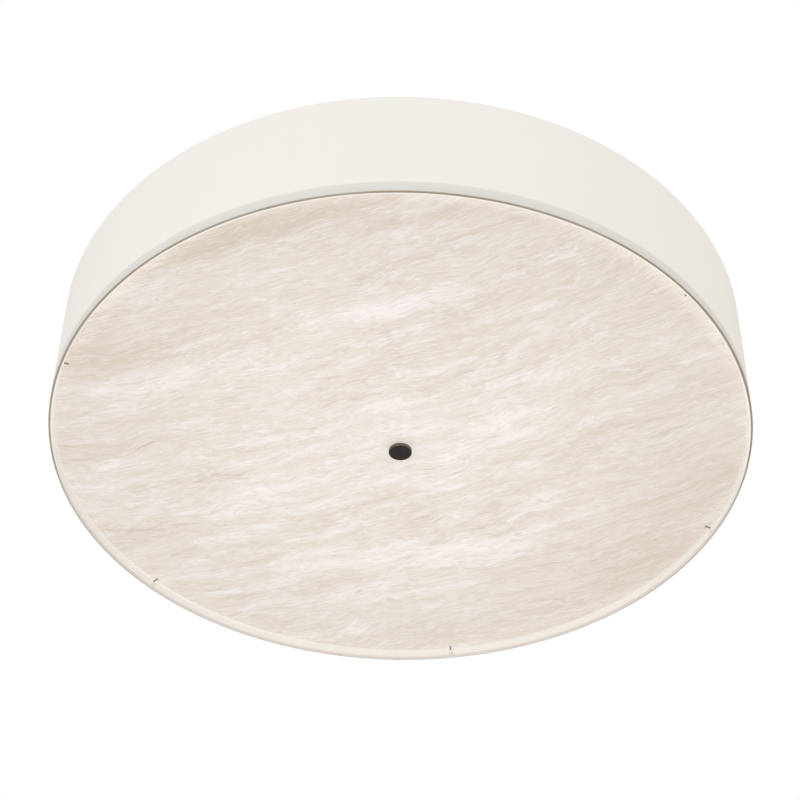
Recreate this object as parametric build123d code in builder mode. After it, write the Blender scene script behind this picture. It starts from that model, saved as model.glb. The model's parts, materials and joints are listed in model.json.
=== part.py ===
"""Semi-flush ceiling light: a wide drum shade with a veined diffuser panel.

Millimetres, +Z up. The origin is the centre of the mounting strap's top face,
in the plane of the ceiling, so the whole light hangs below height 0. The
photograph looks up from below along +Y, with +X to its right.
"""

import os
from math import acos, cos, degrees, radians, sin

from build123d import *

os.makedirs("parts", exist_ok=True)

# Drum shade
shade_diameter = 914.0
shade_height = 172.0
shade_gap = 85.0  # ceiling to the shade's top edge
fabric_thickness = 0.6
liner_thickness = 0.8
bottom_wire_radius = 1.25
top_wire_radius = 2.0
hem_fold = 14.5  # how far the fabric is turned in over each ring
hem_lip_angle = 60.0  # where the fold leaves the wire

# Diffuser panel, the wire tabs under its edge and the finial
panel_edge_gap = 4.4  # turned-in hem to the panel's edge
panel_thickness = 3.0
panel_recess = 13.7  # rim up to the panel's lower face
panel_hole_radius = 6.5
tab_count = 6
tab_first_angle = 20.0
tab_wire_radius = 1.0
tab_bend_radius = 1.5
tab_overlap = 6.0  # how far a tab reaches in under the panel
finial_diameter = 30.5
finial_thickness = 5.0
finial_bevel = 0.9
finial_neck_radius = 8.5
finial_neck_height = 2.0
finial_face = 1.6  # metal left under the finial's bore
washer_radius = 10.5
washer_thickness = 1.5

# Ceiling mount and canopy
strap_length = 120.0
strap_width = 25.0
strap_thickness = 2.0
box_screw_spacing = 88.9
box_slot_width = 5.0
box_slot_length = 16.0
ground_screw_place = 27.0
ground_screw_radius = 2.0
canopy_diameter = 152.0
canopy_depth = 28.0
canopy_wall = 1.2
canopy_shoulder = 14.0
collar_radius = 12.0
collar_height = 12.0
collar_screw_radius = 2.0

# Stem and the threaded tubes
stem_radius = 6.35
stem_bore_radius = 4.6
stem_start = 12.0  # ceiling to the stem's upper end
tube_radius = 4.85
tube_bore_radius = 3.5
nut_thickness = 5.0
stem_nut_flats = 20.0
tube_nut_flats = 15.0

# Spider that carries the shade
spider_arm_count = 4
spider_first_angle = 45.0
spider_arm_radius = 2.0
spider_hub_radius = 22.0
spider_hub_thickness = 5.0

# Lamp cluster
lamp_count = 4
lamp_first_angle = 45.0
lamp_height = 105.0  # rim up to the lamps' axes
can_radius = 34.0
can_height = 46.0
can_wall = 1.5
cover_thickness = 2.0
post_radius = 3.5
post_height = 12.0
post_place = 28.0
cover_screw_radius = 1.75
block_radius = 20.0
block_bore_radius = 10.5
block_height = 11.0
lead_radius = 0.9
lead_circle = 1.9
lead_bend_radius = 5.0
block_lead_place = 15.0

# Lamp arms, sockets and bulbs, measured outwards from the stem's axis
arm_inner_end = 24.0
socket_back = 90.0
socket_back_radius = 14.0
socket_back_length = 14.0
socket_floor = 20.0  # solid length behind the socket's cavity
arm_depth = 8.0  # how far an arm screws into its socket
socket_wall = 3.5
shell_thickness = 0.6
contact_radius = 4.0
contact_thickness = 1.2
bulb_base_radius = 13.0
bulb_base_length = 27.0
bulb_tip_radius = 4.5
bulb_skirt = 4.0  # tapered insulator at the base's foot
bulb_stand_off = 2.0
bulb_neck_radius = 15.0
bulb_neck_length = 9.0
globe_radius = 30.0
globe_centre = 50.0  # base to the middle of the globe's round end
globe_blend_angle = 130.0

# Clearances
thread_clearance = 0.05
running_clearance = 0.08
weld_gap = 0.05
seat_gap = 0.3
slot_clearance = 0.3
stem_clearance = 0.4
tip_gap = 0.3

# Heights, from the ceiling down
shade_radius = shade_diameter / 2
shade_top = -shade_gap
shade_rim = shade_top - shade_height
panel_bottom = shade_rim + panel_recess
washer_top = panel_bottom - seat_gap
washer_bottom = washer_top - washer_thickness
finial_top = washer_bottom - finial_neck_height
lamp_axis = shade_rim + lamp_height
can_top = lamp_axis + can_height / 2
can_bottom = lamp_axis - can_height / 2
cover_bottom = can_bottom - cover_thickness
canopy_bottom = -canopy_depth
collar_bottom = canopy_bottom - collar_height

# Shade section, from the outside in
skin_inner = shade_radius - fabric_thickness
liner_outer = skin_inner - weld_gap
liner_inner = liner_outer - liner_thickness
fold_inner = liner_inner - weld_gap - fabric_thickness
panel_radius = fold_inner - panel_edge_gap
tab_toe_radius = panel_radius - tab_overlap
spider_height = shade_top - fabric_thickness - weld_gap - top_wire_radius


def save(piece, name):
    """Label one finished piece and write it to a file of its own name."""
    piece.part.label = name
    export_step(piece.part, f"parts/{name}.step")


def spread(count, first_angle):
    """Angles of equal steps round the axis."""
    return [first_angle + 360.0 * step / count for step in range(count)]


def radial(angle):
    """Unit vector that points away from the axis at this angle."""
    return Vector(cos(radians(angle)), sin(radians(angle)), 0)


def upright_plane(angle, height=0.0):
    """Plane with x outwards from the axis and y up."""
    return Plane(origin=(0, 0, height), x_dir=radial(angle), z_dir=radial(angle - 90))


def outward_plane(angle, distance, height):
    """Plane that faces outwards at a distance from the axis."""
    return Plane(
        origin=radial(angle) * distance + Vector(0, 0, height),
        x_dir=radial(angle + 90),
        z_dir=radial(angle),
    )


# Mounting strap

with BuildPart() as mounting_strap:
    with BuildSketch():
        RectangleRounded(strap_length, strap_width, strap_width / 5)
        Circle(tube_radius + thread_clearance, mode=Mode.SUBTRACT)
        with GridLocations(box_screw_spacing, 0, 2, 1):
            SlotOverall(box_slot_length, box_slot_width, mode=Mode.SUBTRACT)
        with Locations((ground_screw_place, 0)):
            Circle(ground_screw_radius + thread_clearance, mode=Mode.SUBTRACT)
    extrude(amount=-strap_thickness)
save(mounting_strap, "mounting_strap")

# Ground screw, with its head under the strap

ground_head_radius = 2 * ground_screw_radius
ground_head_height = 1.2 * ground_screw_radius

with BuildPart() as ground_screw:
    with BuildSketch(Plane.XY):
        with Locations((ground_screw_place, 0)):
            Circle(ground_screw_radius)
    extrude(amount=-strap_thickness)
    with BuildSketch(Plane.XY.offset(-strap_thickness)):
        with Locations((ground_screw_place, 0)):
            Circle(ground_head_radius)
    extrude(amount=-ground_head_height)
    with BuildSketch(Plane.XY.offset(-strap_thickness - ground_head_height)):
        with Locations((ground_screw_place, 0)):
            Rectangle(2 * ground_head_radius, ground_screw_radius / 2)
    extrude(amount=ground_head_height / 2, mode=Mode.SUBTRACT)
save(ground_screw, "ground_screw")

# Hollow threaded nipple that joins the strap to the stem

stem_joint = 2 * nut_thickness  # how far the nipple screws into the stem
nipple_end = -stem_start - stem_joint

with BuildPart() as stem_nipple:
    with BuildSketch():
        Circle(tube_radius)
        Circle(tube_bore_radius, mode=Mode.SUBTRACT)
    extrude(amount=nipple_end)
save(stem_nipple, "stem_nipple")

with BuildPart() as nipple_nut:
    with BuildSketch(Plane.XY.offset(-strap_thickness)):
        RegularPolygon(tube_nut_flats / 2, 6, major_radius=False)
        Circle(tube_radius + thread_clearance, mode=Mode.SUBTRACT)
    extrude(amount=-nut_thickness)
save(nipple_nut, "nipple_nut")

# Canopy, a spun cup that hides the ceiling box, and the collar under it

canopy_radius = canopy_diameter / 2

with BuildPart() as canopy:
    with BuildSketch(Plane.XZ):
        with BuildLine():
            Line((canopy_radius, 0), (canopy_radius, canopy_shoulder - canopy_depth))
            RadiusArc(
                (canopy_radius, canopy_shoulder - canopy_depth),
                (canopy_radius - canopy_shoulder, canopy_bottom),
                canopy_shoulder,
            )
            Line((canopy_radius - canopy_shoulder, canopy_bottom), (0, canopy_bottom))
            Line((0, canopy_bottom), (0, 0))
            Line((0, 0), (canopy_radius, 0))
        make_face()
    revolve(axis=Axis.Z)
    offset(amount=-canopy_wall, openings=canopy.faces().sort_by(Axis.Z)[-1])
    with BuildSketch(Plane.XY.offset(canopy_bottom)):
        Circle(stem_radius + stem_clearance)
    extrude(amount=canopy_wall, mode=Mode.SUBTRACT)
save(canopy, "canopy")

collar_screw_height = collar_bottom + collar_height / 2

with BuildPart() as canopy_collar:
    with BuildSketch(Plane.XY.offset(collar_bottom)):
        Circle(collar_radius)
        Circle(stem_radius + running_clearance, mode=Mode.SUBTRACT)
    extrude(amount=collar_height)
    outer_edges = canopy_collar.edges().filter_by(GeomType.CIRCLE).sort_by(SortBy.RADIUS)[-2:]
    chamfer(outer_edges, length=collar_height / 12)
    with BuildSketch(Plane.XZ.offset(0)):
        with Locations((0, collar_screw_height)):
            Circle(collar_screw_radius + thread_clearance)
    extrude(amount=collar_radius, mode=Mode.SUBTRACT)
save(canopy_collar, "canopy_collar")

with BuildPart() as collar_screw:
    with BuildSketch(Plane.XZ.offset(stem_radius + running_clearance)):
        with Locations((0, collar_screw_height)):
            Circle(collar_screw_radius)
    extrude(amount=collar_radius - stem_radius)
    with BuildSketch(Plane.XZ.offset(collar_radius + running_clearance)):
        with Locations((0, collar_screw_height)):
            Circle(2 * collar_screw_radius)
    extrude(amount=collar_screw_radius)
save(collar_screw, "collar_screw")

# Stem

stem_end = can_top - can_wall - nut_thickness - running_clearance

with BuildPart() as stem:
    with BuildSketch(Plane.XY.offset(-stem_start)):
        Circle(stem_radius)
        Circle(stem_bore_radius, mode=Mode.SUBTRACT)
    extrude(amount=stem_end + stem_start)
    with BuildSketch(Plane.XY.offset(-stem_start)):
        Circle(tube_radius + thread_clearance)
    extrude(amount=-stem_joint, mode=Mode.SUBTRACT)
save(stem, "stem")

# Nuts on the stem: above and below the spider's hub, above and inside the can

hub_top = spider_height + spider_hub_thickness / 2
hub_bottom = spider_height - spider_hub_thickness / 2

with BuildPart() as stem_nuts:
    for seat in (hub_top, hub_bottom - nut_thickness, can_top, can_top - can_wall - nut_thickness):
        with BuildSketch(Plane.XY.offset(seat)):
            RegularPolygon(stem_nut_flats / 2, 6, major_radius=False)
            Circle(stem_radius + thread_clearance, mode=Mode.SUBTRACT)
        extrude(amount=nut_thickness)
save(stem_nuts, "stem_nuts")

# Shade frame: hub, arms and the two wire rings

top_ring_radius = liner_inner - weld_gap - top_wire_radius
bottom_ring_radius = liner_inner - weld_gap - bottom_wire_radius
bottom_ring_height = shade_rim + fabric_thickness + weld_gap + bottom_wire_radius

with BuildPart() as spider_hub:
    with BuildSketch(Plane.XY.offset(hub_bottom)):
        Circle(spider_hub_radius)
        Circle(stem_radius + thread_clearance, mode=Mode.SUBTRACT)
    extrude(amount=spider_hub_thickness)
save(spider_hub, "spider_hub")

spider_arm_start = spider_hub_radius + weld_gap
spider_arm_end = top_ring_radius - top_wire_radius - weld_gap

with BuildPart() as spider_arms:
    for angle in spread(spider_arm_count, spider_first_angle):
        with BuildSketch(outward_plane(angle, spider_arm_start, spider_height)):
            Circle(spider_arm_radius)
        extrude(amount=spider_arm_end - spider_arm_start)
save(spider_arms, "spider_arms")

with BuildPart() as top_ring:
    with BuildSketch(Plane.XZ):
        with Locations((top_ring_radius, spider_height)):
            Circle(top_wire_radius)
    revolve(axis=Axis.Z)
save(top_ring, "top_ring")

with BuildPart() as bottom_ring:
    with BuildSketch(Plane.XZ):
        with Locations((bottom_ring_radius, bottom_ring_height)):
            Circle(bottom_wire_radius)
    revolve(axis=Axis.Z)
save(bottom_ring, "bottom_ring")

# Shade liner, the stiff plastic drum that the fabric is laid on

with BuildPart() as shade_liner:
    with BuildSketch(Plane.XY.offset(shade_rim + fabric_thickness + weld_gap)):
        Circle(liner_outer)
        Circle(liner_inner, mode=Mode.SUBTRACT)
    extrude(amount=shade_height - 2 * (fabric_thickness + weld_gap))
save(shade_liner, "shade_liner")

# Wire tabs under the panel's edge, each standing on the bottom ring, against the liner

tab_leg_radius = liner_inner - weld_gap - tab_wire_radius
tab_leg_foot = bottom_ring_height + bottom_wire_radius + weld_gap
tab_toe_height = panel_bottom - seat_gap - tab_wire_radius

with BuildPart() as panel_tabs:
    for angle in spread(tab_count, tab_first_angle):
        with BuildLine(upright_plane(angle)) as tab_path:
            FilletPolyline(
                (tab_leg_radius, tab_leg_foot),
                (tab_leg_radius, tab_toe_height),
                (tab_toe_radius, tab_toe_height),
                radius=tab_bend_radius,
            )
        with BuildSketch(Plane.XY.offset(tab_leg_foot)):
            with Locations(radial(angle) * tab_leg_radius):
                Circle(tab_wire_radius)
        sweep(path=tab_path.wires()[0])
save(panel_tabs, "panel_tabs")


# Fabric skin, glued round the liner

with BuildPart() as shade_fabric:
    with BuildSketch(Plane.XY.offset(shade_rim)):
        Circle(shade_radius)
        Circle(skin_inner, mode=Mode.SUBTRACT)
    extrude(amount=shade_height)
save(shade_fabric, "shade_fabric")


# Hems, the fabric turned in over each ring, and slit where a wire comes through

def on_roll(ring_radius, centre, inward, radius, angle):
    """Point on a circle round a ring's wire, mirrored at the shade's top."""
    across = ring_radius + radius * cos(radians(angle))
    return (across, centre + inward * radius * sin(radians(angle)))


def hem_strips(edge, inward, wire_radius, ring_radius, slit_angles, slit_width):
    """Strips of turned-in hem between slits; inward is 1 at the rim and -1 at the top."""
    clear = wire_radius + weld_gap
    roll = clear + fabric_thickness
    centre = edge + inward * roll
    fold_end = edge + inward * hem_fold
    hem_outer = skin_inner - weld_gap
    meeting = degrees(acos((fold_inner - ring_radius) / roll))
    meeting_point = on_roll(ring_radius, centre, inward, roll, meeting)
    lip_point = on_roll(ring_radius, centre, inward, clear, hem_lip_angle)
    slit = degrees(slit_width / ring_radius)
    with BuildPart() as strips:
        for angle in slit_angles:
            with BuildSketch(upright_plane(angle + slit / 2)):
                with BuildLine():
                    Polyline((hem_outer, edge + inward * fabric_thickness), (hem_outer, edge),
                             (ring_radius, edge))
                    ThreePointArc((ring_radius, edge),
                                  on_roll(ring_radius, centre, inward, roll, 180), meeting_point)
                    Polyline(
                        meeting_point,
                        (fold_inner, fold_end),
                        (fold_inner + fabric_thickness, fold_end),
                        (fold_inner + fabric_thickness, centre + inward * clear),
                        lip_point,
                    )
                    ThreePointArc(lip_point, on_roll(ring_radius, centre, inward, clear, 180),
                                  on_roll(ring_radius, centre, inward, clear, 270))
                    Line(on_roll(ring_radius, centre, inward, clear, 270),
                         (hem_outer, edge + inward * fabric_thickness))
                make_face()
            revolve(axis=Axis.Z, revolution_arc=360 / len(slit_angles) - slit)
    return strips


top_hem = hem_strips(
    shade_top, -1, top_wire_radius, top_ring_radius,
    spread(spider_arm_count, spider_first_angle), 2 * (spider_arm_radius + slot_clearance),
)
save(top_hem, "top_hem")

bottom_hem = hem_strips(
    shade_rim, 1, bottom_wire_radius, bottom_ring_radius,
    spread(tab_count, tab_first_angle), 2 * (tab_wire_radius + slot_clearance),
)
save(bottom_hem, "bottom_hem")

# Lamp cluster: the can, its cover, screws and terminal block

with BuildPart() as cluster_can:
    with BuildSketch(Plane.XY.offset(can_bottom)):
        Circle(can_radius)
    extrude(amount=can_height)
    with BuildSketch(Plane.XY.offset(can_bottom)):
        Circle(can_radius - can_wall)
    extrude(amount=can_height - can_wall, mode=Mode.SUBTRACT)
    with BuildSketch(Plane.XY.offset(can_bottom)):
        with PolarLocations(post_place, 2):
            Circle(post_radius)
            with Locations((post_radius, 0)):
                Rectangle(post_radius * 2, post_radius)
        Circle(can_radius - can_wall / 2, mode=Mode.INTERSECT)
    extrude(amount=post_height)
    with BuildSketch(Plane.XY.offset(can_bottom)):
        with PolarLocations(post_place, 2):
            Circle(cover_screw_radius + thread_clearance)
    extrude(amount=post_height, mode=Mode.SUBTRACT)
    with BuildSketch(Plane.XY.offset(can_top)):
        Circle(stem_radius + thread_clearance)
    extrude(amount=-can_wall, mode=Mode.SUBTRACT)
    for angle in spread(lamp_count, lamp_first_angle):
        with BuildSketch(outward_plane(angle, arm_inner_end, lamp_axis)):
            Circle(tube_radius + thread_clearance)
        extrude(amount=can_radius, mode=Mode.SUBTRACT)
save(cluster_can, "cluster_can")

with BuildPart() as cluster_cover:
    with BuildSketch(Plane.XY.offset(cover_bottom)):
        Circle(can_radius)
        Circle(tube_radius + thread_clearance, mode=Mode.SUBTRACT)
        with PolarLocations(post_place, 2):
            Circle(cover_screw_radius + slot_clearance, mode=Mode.SUBTRACT)
    extrude(amount=cover_thickness)
    chamfer(cluster_cover.edges().filter_by(GeomType.CIRCLE).group_by(Axis.Z)[0].sort_by(SortBy.RADIUS)[-1],
            length=cover_thickness / 4)
save(cluster_cover, "cluster_cover")

cover_screw_length = post_height - 2 * cover_screw_radius

with BuildPart() as cover_screws:
    with BuildSketch(Plane.XY.offset(cover_bottom)):
        with PolarLocations(post_place, 2):
            Circle(cover_screw_radius)
    extrude(amount=cover_thickness + cover_screw_length)
    with BuildSketch(Plane.XY.offset(cover_bottom)):
        with PolarLocations(post_place, 2):
            Circle(2 * cover_screw_radius)
    extrude(amount=-cover_screw_radius)
save(cover_screws, "cover_screws")

with BuildPart() as terminal_block:
    with BuildSketch(Plane.XY.offset(can_bottom)):
        Circle(block_radius)
        Circle(block_bore_radius, mode=Mode.SUBTRACT)
    extrude(amount=block_height)
save(terminal_block, "terminal_block")

# Threaded rod that carries the finial, and its two nuts on the cover

rod_top = can_bottom + nut_thickness + running_clearance
finial_bore_depth = finial_neck_height + finial_thickness - finial_face
rod_end = washer_bottom - finial_bore_depth + seat_gap

with BuildPart() as finial_rod:
    with BuildSketch(Plane.XY.offset(rod_end)):
        Circle(tube_radius)
        Circle(tube_bore_radius, mode=Mode.SUBTRACT)
    extrude(amount=rod_top - rod_end)
save(finial_rod, "finial_rod")

with BuildPart() as rod_nuts:
    for seat in (can_bottom, cover_bottom - nut_thickness):
        with BuildSketch(Plane.XY.offset(seat)):
            RegularPolygon(tube_nut_flats / 2, 6, major_radius=False)
            Circle(tube_radius + thread_clearance, mode=Mode.SUBTRACT)
        extrude(amount=nut_thickness)
save(rod_nuts, "rod_nuts")

# Supply leads, down through the nipple and the stem to the terminal block

block_top = can_bottom + block_height

with BuildPart() as supply_leads:
    for angle in spread(3, 0.0):
        with BuildLine(upright_plane(angle)) as lead_path:
            FilletPolyline(
                (lead_circle, 0),
                (lead_circle, stem_end - lead_bend_radius / 2),
                (block_lead_place, block_top + lead_bend_radius),
                (block_lead_place, block_top),
                radius=lead_bend_radius / 2,
            )
        with BuildSketch(Plane(origin=radial(angle) * lead_circle, z_dir=(0, 0, -1))):
            Circle(lead_radius)
        sweep(path=lead_path.wires()[0])
save(supply_leads, "supply_leads")

# Arms, sockets and their leads, one set for each lamp

cavity_start = socket_back + socket_floor
base_tip = cavity_start + contact_thickness + tip_gap
base_end = base_tip + bulb_base_length
socket_mouth = base_end - bulb_stand_off
shell_inner = bulb_base_radius + running_clearance
shell_outer = shell_inner + shell_thickness
cavity_radius = shell_outer + thread_clearance
socket_radius = cavity_radius + socket_wall
arm_end = socket_back + arm_depth
arm_nut_seat = can_radius + thread_clearance
inner_nut_seat = can_radius - can_wall - nut_thickness - thread_clearance
lamp_angles = spread(lamp_count, lamp_first_angle)

for number, angle in enumerate(lamp_angles, start=1):
    with BuildPart() as lamp_arm:
        with BuildSketch(outward_plane(angle, arm_inner_end, lamp_axis)):
            Circle(tube_radius)
            Circle(tube_bore_radius, mode=Mode.SUBTRACT)
        extrude(amount=arm_end - arm_inner_end)
    save(lamp_arm, f"lamp_arm_{number}")

with BuildPart() as arm_nuts:
    for angle in lamp_angles:
        for seat in (inner_nut_seat, arm_nut_seat):
            with BuildSketch(outward_plane(angle, seat, lamp_axis)):
                RegularPolygon(tube_nut_flats / 2, 6, major_radius=False)
                Circle(tube_radius + thread_clearance, mode=Mode.SUBTRACT)
            extrude(amount=nut_thickness)
    with BuildSketch(Plane.XY.offset(can_bottom)):
        Circle(can_radius + thread_clearance)
        Circle(can_radius - can_wall - thread_clearance, mode=Mode.SUBTRACT)
    extrude(amount=can_height, mode=Mode.SUBTRACT)
save(arm_nuts, "arm_nuts")

for number, angle in enumerate(lamp_angles, start=1):
    lamp_line = Axis((0, 0, lamp_axis), radial(angle))
    with BuildPart() as socket:
        with BuildSketch(upright_plane(angle, lamp_axis)):
            with BuildLine():
                Polyline(
                    (arm_end, 0),
                    (arm_end, tube_radius + thread_clearance),
                    (socket_back, tube_radius + thread_clearance),
                    (socket_back, socket_back_radius),
                    (socket_back + socket_back_length, socket_back_radius),
                    (cavity_start, socket_radius),
                    (socket_mouth, socket_radius),
                    (socket_mouth, cavity_radius),
                    (cavity_start, cavity_radius),
                    (cavity_start, 0),
                    close=True,
                )
            make_face()
        revolve(axis=lamp_line)
    save(socket, f"socket_{number}")

for number, angle in enumerate(lamp_angles, start=1):
    with BuildPart() as socket_shell:
        with BuildSketch(outward_plane(angle, cavity_start, lamp_axis)):
            Circle(shell_outer)
            Circle(shell_inner, mode=Mode.SUBTRACT)
        extrude(amount=socket_mouth - cavity_start - shell_thickness)
    save(socket_shell, f"socket_shell_{number}")

with BuildPart() as socket_contacts:
    for angle in lamp_angles:
        with BuildSketch(outward_plane(angle, cavity_start, lamp_axis)):
            Circle(contact_radius)
        extrude(amount=contact_thickness)
save(socket_contacts, "socket_contacts")

with BuildPart() as socket_leads:
    for angle in lamp_angles:
        for side in (-lead_circle, lead_circle):
            shift = radial(angle + 90) * side
            lead_plane = Plane(origin=shift, x_dir=radial(angle), z_dir=radial(angle - 90))
            with BuildLine(lead_plane) as lead_path:
                FilletPolyline(
                    (arm_end, lamp_axis),
                    (block_lead_place, lamp_axis),
                    (block_lead_place, block_top),
                    radius=lead_bend_radius,
                )
            with BuildSketch(Plane(origin=lead_path.wires()[0] @ 0, z_dir=-radial(angle))):
                Circle(lead_radius)
            sweep(path=lead_path.wires()[0])
save(socket_leads, "socket_leads")

# Bulbs: a screw base and an opal globe for each lamp

for number, angle in enumerate(lamp_angles, start=1):
    lamp_line = Axis((0, 0, lamp_axis), radial(angle))
    with BuildPart() as bulb_base:
        with BuildSketch(upright_plane(angle, lamp_axis)):
            with BuildLine():
                Polyline(
                    (base_tip, 0),
                    (base_tip, bulb_tip_radius),
                    (base_tip + bulb_skirt, bulb_base_radius),
                    (base_end, bulb_base_radius),
                    (base_end, 0),
                    close=True,
                )
            make_face()
        revolve(axis=lamp_line)
    save(bulb_base, f"bulb_base_{number}")

for number, angle in enumerate(lamp_angles, start=1):
    lamp_line = Axis((0, 0, lamp_axis), radial(angle))
    middle = base_end + globe_centre
    blend = radians(globe_blend_angle)
    blend_point = (middle + globe_radius * cos(blend), globe_radius * sin(blend))
    neck_point = (base_end + bulb_neck_length, bulb_neck_radius)
    with BuildPart() as bulb_globe:
        with BuildSketch(upright_plane(angle, lamp_axis)):
            with BuildLine():
                Polyline((base_end, 0), (base_end, bulb_neck_radius), neck_point)
                Spline(neck_point, blend_point, tangents=((1, 0), (sin(blend), -cos(blend))))
                ThreePointArc(blend_point, (middle, globe_radius), (middle + globe_radius, 0))
                Line((middle + globe_radius, 0), (base_end, 0))
            make_face()
        revolve(axis=lamp_line)
    save(bulb_globe, f"bulb_globe_{number}")

# Diffuser panel

with BuildPart() as diffuser_panel:
    with BuildSketch(Plane.XY.offset(panel_bottom)):
        Circle(panel_radius)
        Circle(panel_hole_radius, mode=Mode.SUBTRACT)
    extrude(amount=panel_thickness)
    chamfer(diffuser_panel.edges().filter_by(GeomType.CIRCLE).sort_by(SortBy.RADIUS)[-2:],
            length=panel_thickness / 8)
save(diffuser_panel, "diffuser_panel")

# Washer and finial

with BuildPart() as finial_washer:
    with BuildSketch(Plane.XY.offset(washer_bottom)):
        Circle(washer_radius)
        Circle(tube_radius + stem_clearance, mode=Mode.SUBTRACT)
    extrude(amount=washer_thickness)
save(finial_washer, "finial_washer")

with BuildPart() as finial:
    with BuildSketch(Plane.XY.offset(finial_top)):
        Circle(finial_diameter / 2)
    extrude(amount=-finial_thickness)
    chamfer(finial.edges().group_by(Axis.Z)[0], length=finial_bevel)
    with BuildSketch(Plane.XY.offset(finial_top)):
        Circle(finial_neck_radius)
    extrude(amount=finial_neck_height)
    with BuildSketch(Plane.XY.offset(washer_bottom)):
        Circle(tube_radius + running_clearance)
    extrude(amount=-finial_bore_depth, mode=Mode.SUBTRACT)
save(finial, "finial")

print("rim", shade_rim, "panel", panel_bottom, "finial face", finial_top - finial_thickness)
print("lamp axis", lamp_axis, "can", can_top, can_bottom, "rod end", rod_end)
print("socket mouth", socket_mouth, "bulb end", base_end + globe_centre + globe_radius)
print("tab leg radius", tab_leg_radius, "spider height", spider_height)
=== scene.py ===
import json
from math import acos, atan2, ceil, cos, hypot, pi, radians, sin, tau

import bmesh
import bpy
from bpy.props import FloatProperty, FloatVectorProperty, IntProperty, PointerProperty
from mathutils import Matrix, Vector


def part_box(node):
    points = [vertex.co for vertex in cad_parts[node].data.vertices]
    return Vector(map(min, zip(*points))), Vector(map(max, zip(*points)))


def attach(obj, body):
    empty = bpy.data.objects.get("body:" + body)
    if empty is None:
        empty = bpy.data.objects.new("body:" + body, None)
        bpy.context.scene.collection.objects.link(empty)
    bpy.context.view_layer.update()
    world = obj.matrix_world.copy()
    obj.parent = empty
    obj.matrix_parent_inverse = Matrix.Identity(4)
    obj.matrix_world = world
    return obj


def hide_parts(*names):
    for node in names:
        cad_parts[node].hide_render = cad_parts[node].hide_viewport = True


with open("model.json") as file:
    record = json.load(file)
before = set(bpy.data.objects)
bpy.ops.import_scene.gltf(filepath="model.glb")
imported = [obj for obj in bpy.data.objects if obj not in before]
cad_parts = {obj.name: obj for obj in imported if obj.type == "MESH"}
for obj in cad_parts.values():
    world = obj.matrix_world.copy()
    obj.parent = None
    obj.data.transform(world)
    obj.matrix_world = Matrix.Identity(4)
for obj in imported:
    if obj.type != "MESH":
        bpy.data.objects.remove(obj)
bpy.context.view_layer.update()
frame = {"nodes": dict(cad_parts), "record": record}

# Dresses the drum ceiling light: lit cloth shade, veined panel, lamps and fittings.
# Metres, in the frame of the packed part: +Z up, with the ceiling at height 0.

bl_info = {
    "name": "Drum Ceiling Light",
    "version": (1, 0, 0),
    "blender": (4, 5, 0),
    "location": "3D View > Sidebar > Ceiling Light",
    "description": "Builds the cloth, veined panel, lamps and metal finishes of a drum ceiling light",
    "category": "Object",
}


# Measures taken from the frame

def low_corner(node):
    """Lowest corner of a node of the frame."""
    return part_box(node)[0]


def high_corner(node):
    """Highest corner of a node of the frame."""
    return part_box(node)[1]


def half_height(node):
    """Half the height of a node of the frame."""
    return (high_corner(node).z - low_corner(node).z) / 2


def ray(angle):
    """Unit vector that points away from the light's axis at this angle."""
    return Vector((cos(angle), sin(angle), 0))


def reach(node, angle):
    """Nearest and furthest distance of a node from the axis, along a ray."""
    direction = ray(angle)
    spots = [direction.dot(vertex.co) for vertex in frame["nodes"][node].data.vertices]
    return min(spots), max(spots)


def wire_of(ring):
    """Wire radius, ring radius and height of a round ring node."""
    wire = half_height(ring)
    return wire, high_corner(ring).x - wire, low_corner(ring).z + wire


def angle_of(node):
    """Angle at which a node stands round the axis."""
    middle = (low_corner(node) + high_corner(node)) / 2
    return atan2(middle.y, middle.x)


LAMPS = (1, 2, 3, 4)
LAMP_ANGLES = [angle_of(f"socket_{lamp}") for lamp in LAMPS]
LAMP_HEIGHT = (low_corner("socket_1").z + high_corner("socket_1").z) / 2
LAMP_REACH = sum(reach("bulb_globe_1", LAMP_ANGLES[0])) / 2


# Sizes and colours that a user may change

def length(name, default, description):
    """Property for a size in metres."""
    return FloatProperty(name=name, description=description, default=default, precision=5, unit="LENGTH")


def share(name, default, description):
    """Property for a plain factor."""
    return FloatProperty(name=name, description=description, default=default, precision=3, subtype="FACTOR")


def turn(name, default, description):
    """Property for an angle."""
    return FloatProperty(name=name, description=description, default=default, subtype="ANGLE")


def colour(name, default, description):
    """Property for a linear colour."""
    return FloatVectorProperty(name=name, description=description, default=default, size=3,
                               min=0.0, max=4.0, subtype="COLOR")


class ShadeSizes(bpy.types.PropertyGroup):
    """Sizes of the cloth drum."""

    radius: length("Radius", high_corner("shade_fabric").x, "Outside radius of the cloth")
    top: length("Top", high_corner("shade_fabric").z, "Height of the top edge")
    rim: length("Rim", low_corner("shade_fabric").z, "Height of the bottom edge")
    cloth: length("Cloth", 0.0006, "Thickness of the cloth")
    gap: length("Gap", 0.00005, "Air between glued layers")
    fold: length("Fold", high_corner("bottom_hem").z - low_corner("bottom_hem").z,
                 "How far the cloth is turned in over a ring")
    glue_line: length("Glue line", 0.0032, "How far above the fold the cloth still looks double")
    corner: length("Corner", 0.001, "Radius where the wall turns under")
    swell: length("Swell", 0.00022, "How far the cloth stands proud between its hems")
    lap: length("Lap", 0.012, "Width of the glued lap at the back")
    lap_step: length("Lap step", 0.00045, "How far the lap stands proud")
    lap_angle: turn("Lap angle", radians(90), "Where the lap stands round the drum")
    tab_slit: length("Tab slit", 0.0026, "Width of the slit round each tab's wire")
    pocket: length("Pocket", 0.0042, "Half the width of the bulge over a tab's leg")
    arm_slit: length("Arm slit", 0.0046, "Width of the slit round each arm")
    steps: IntProperty(name="Steps", description="Faces round the drum", default=360, min=60)


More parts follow.
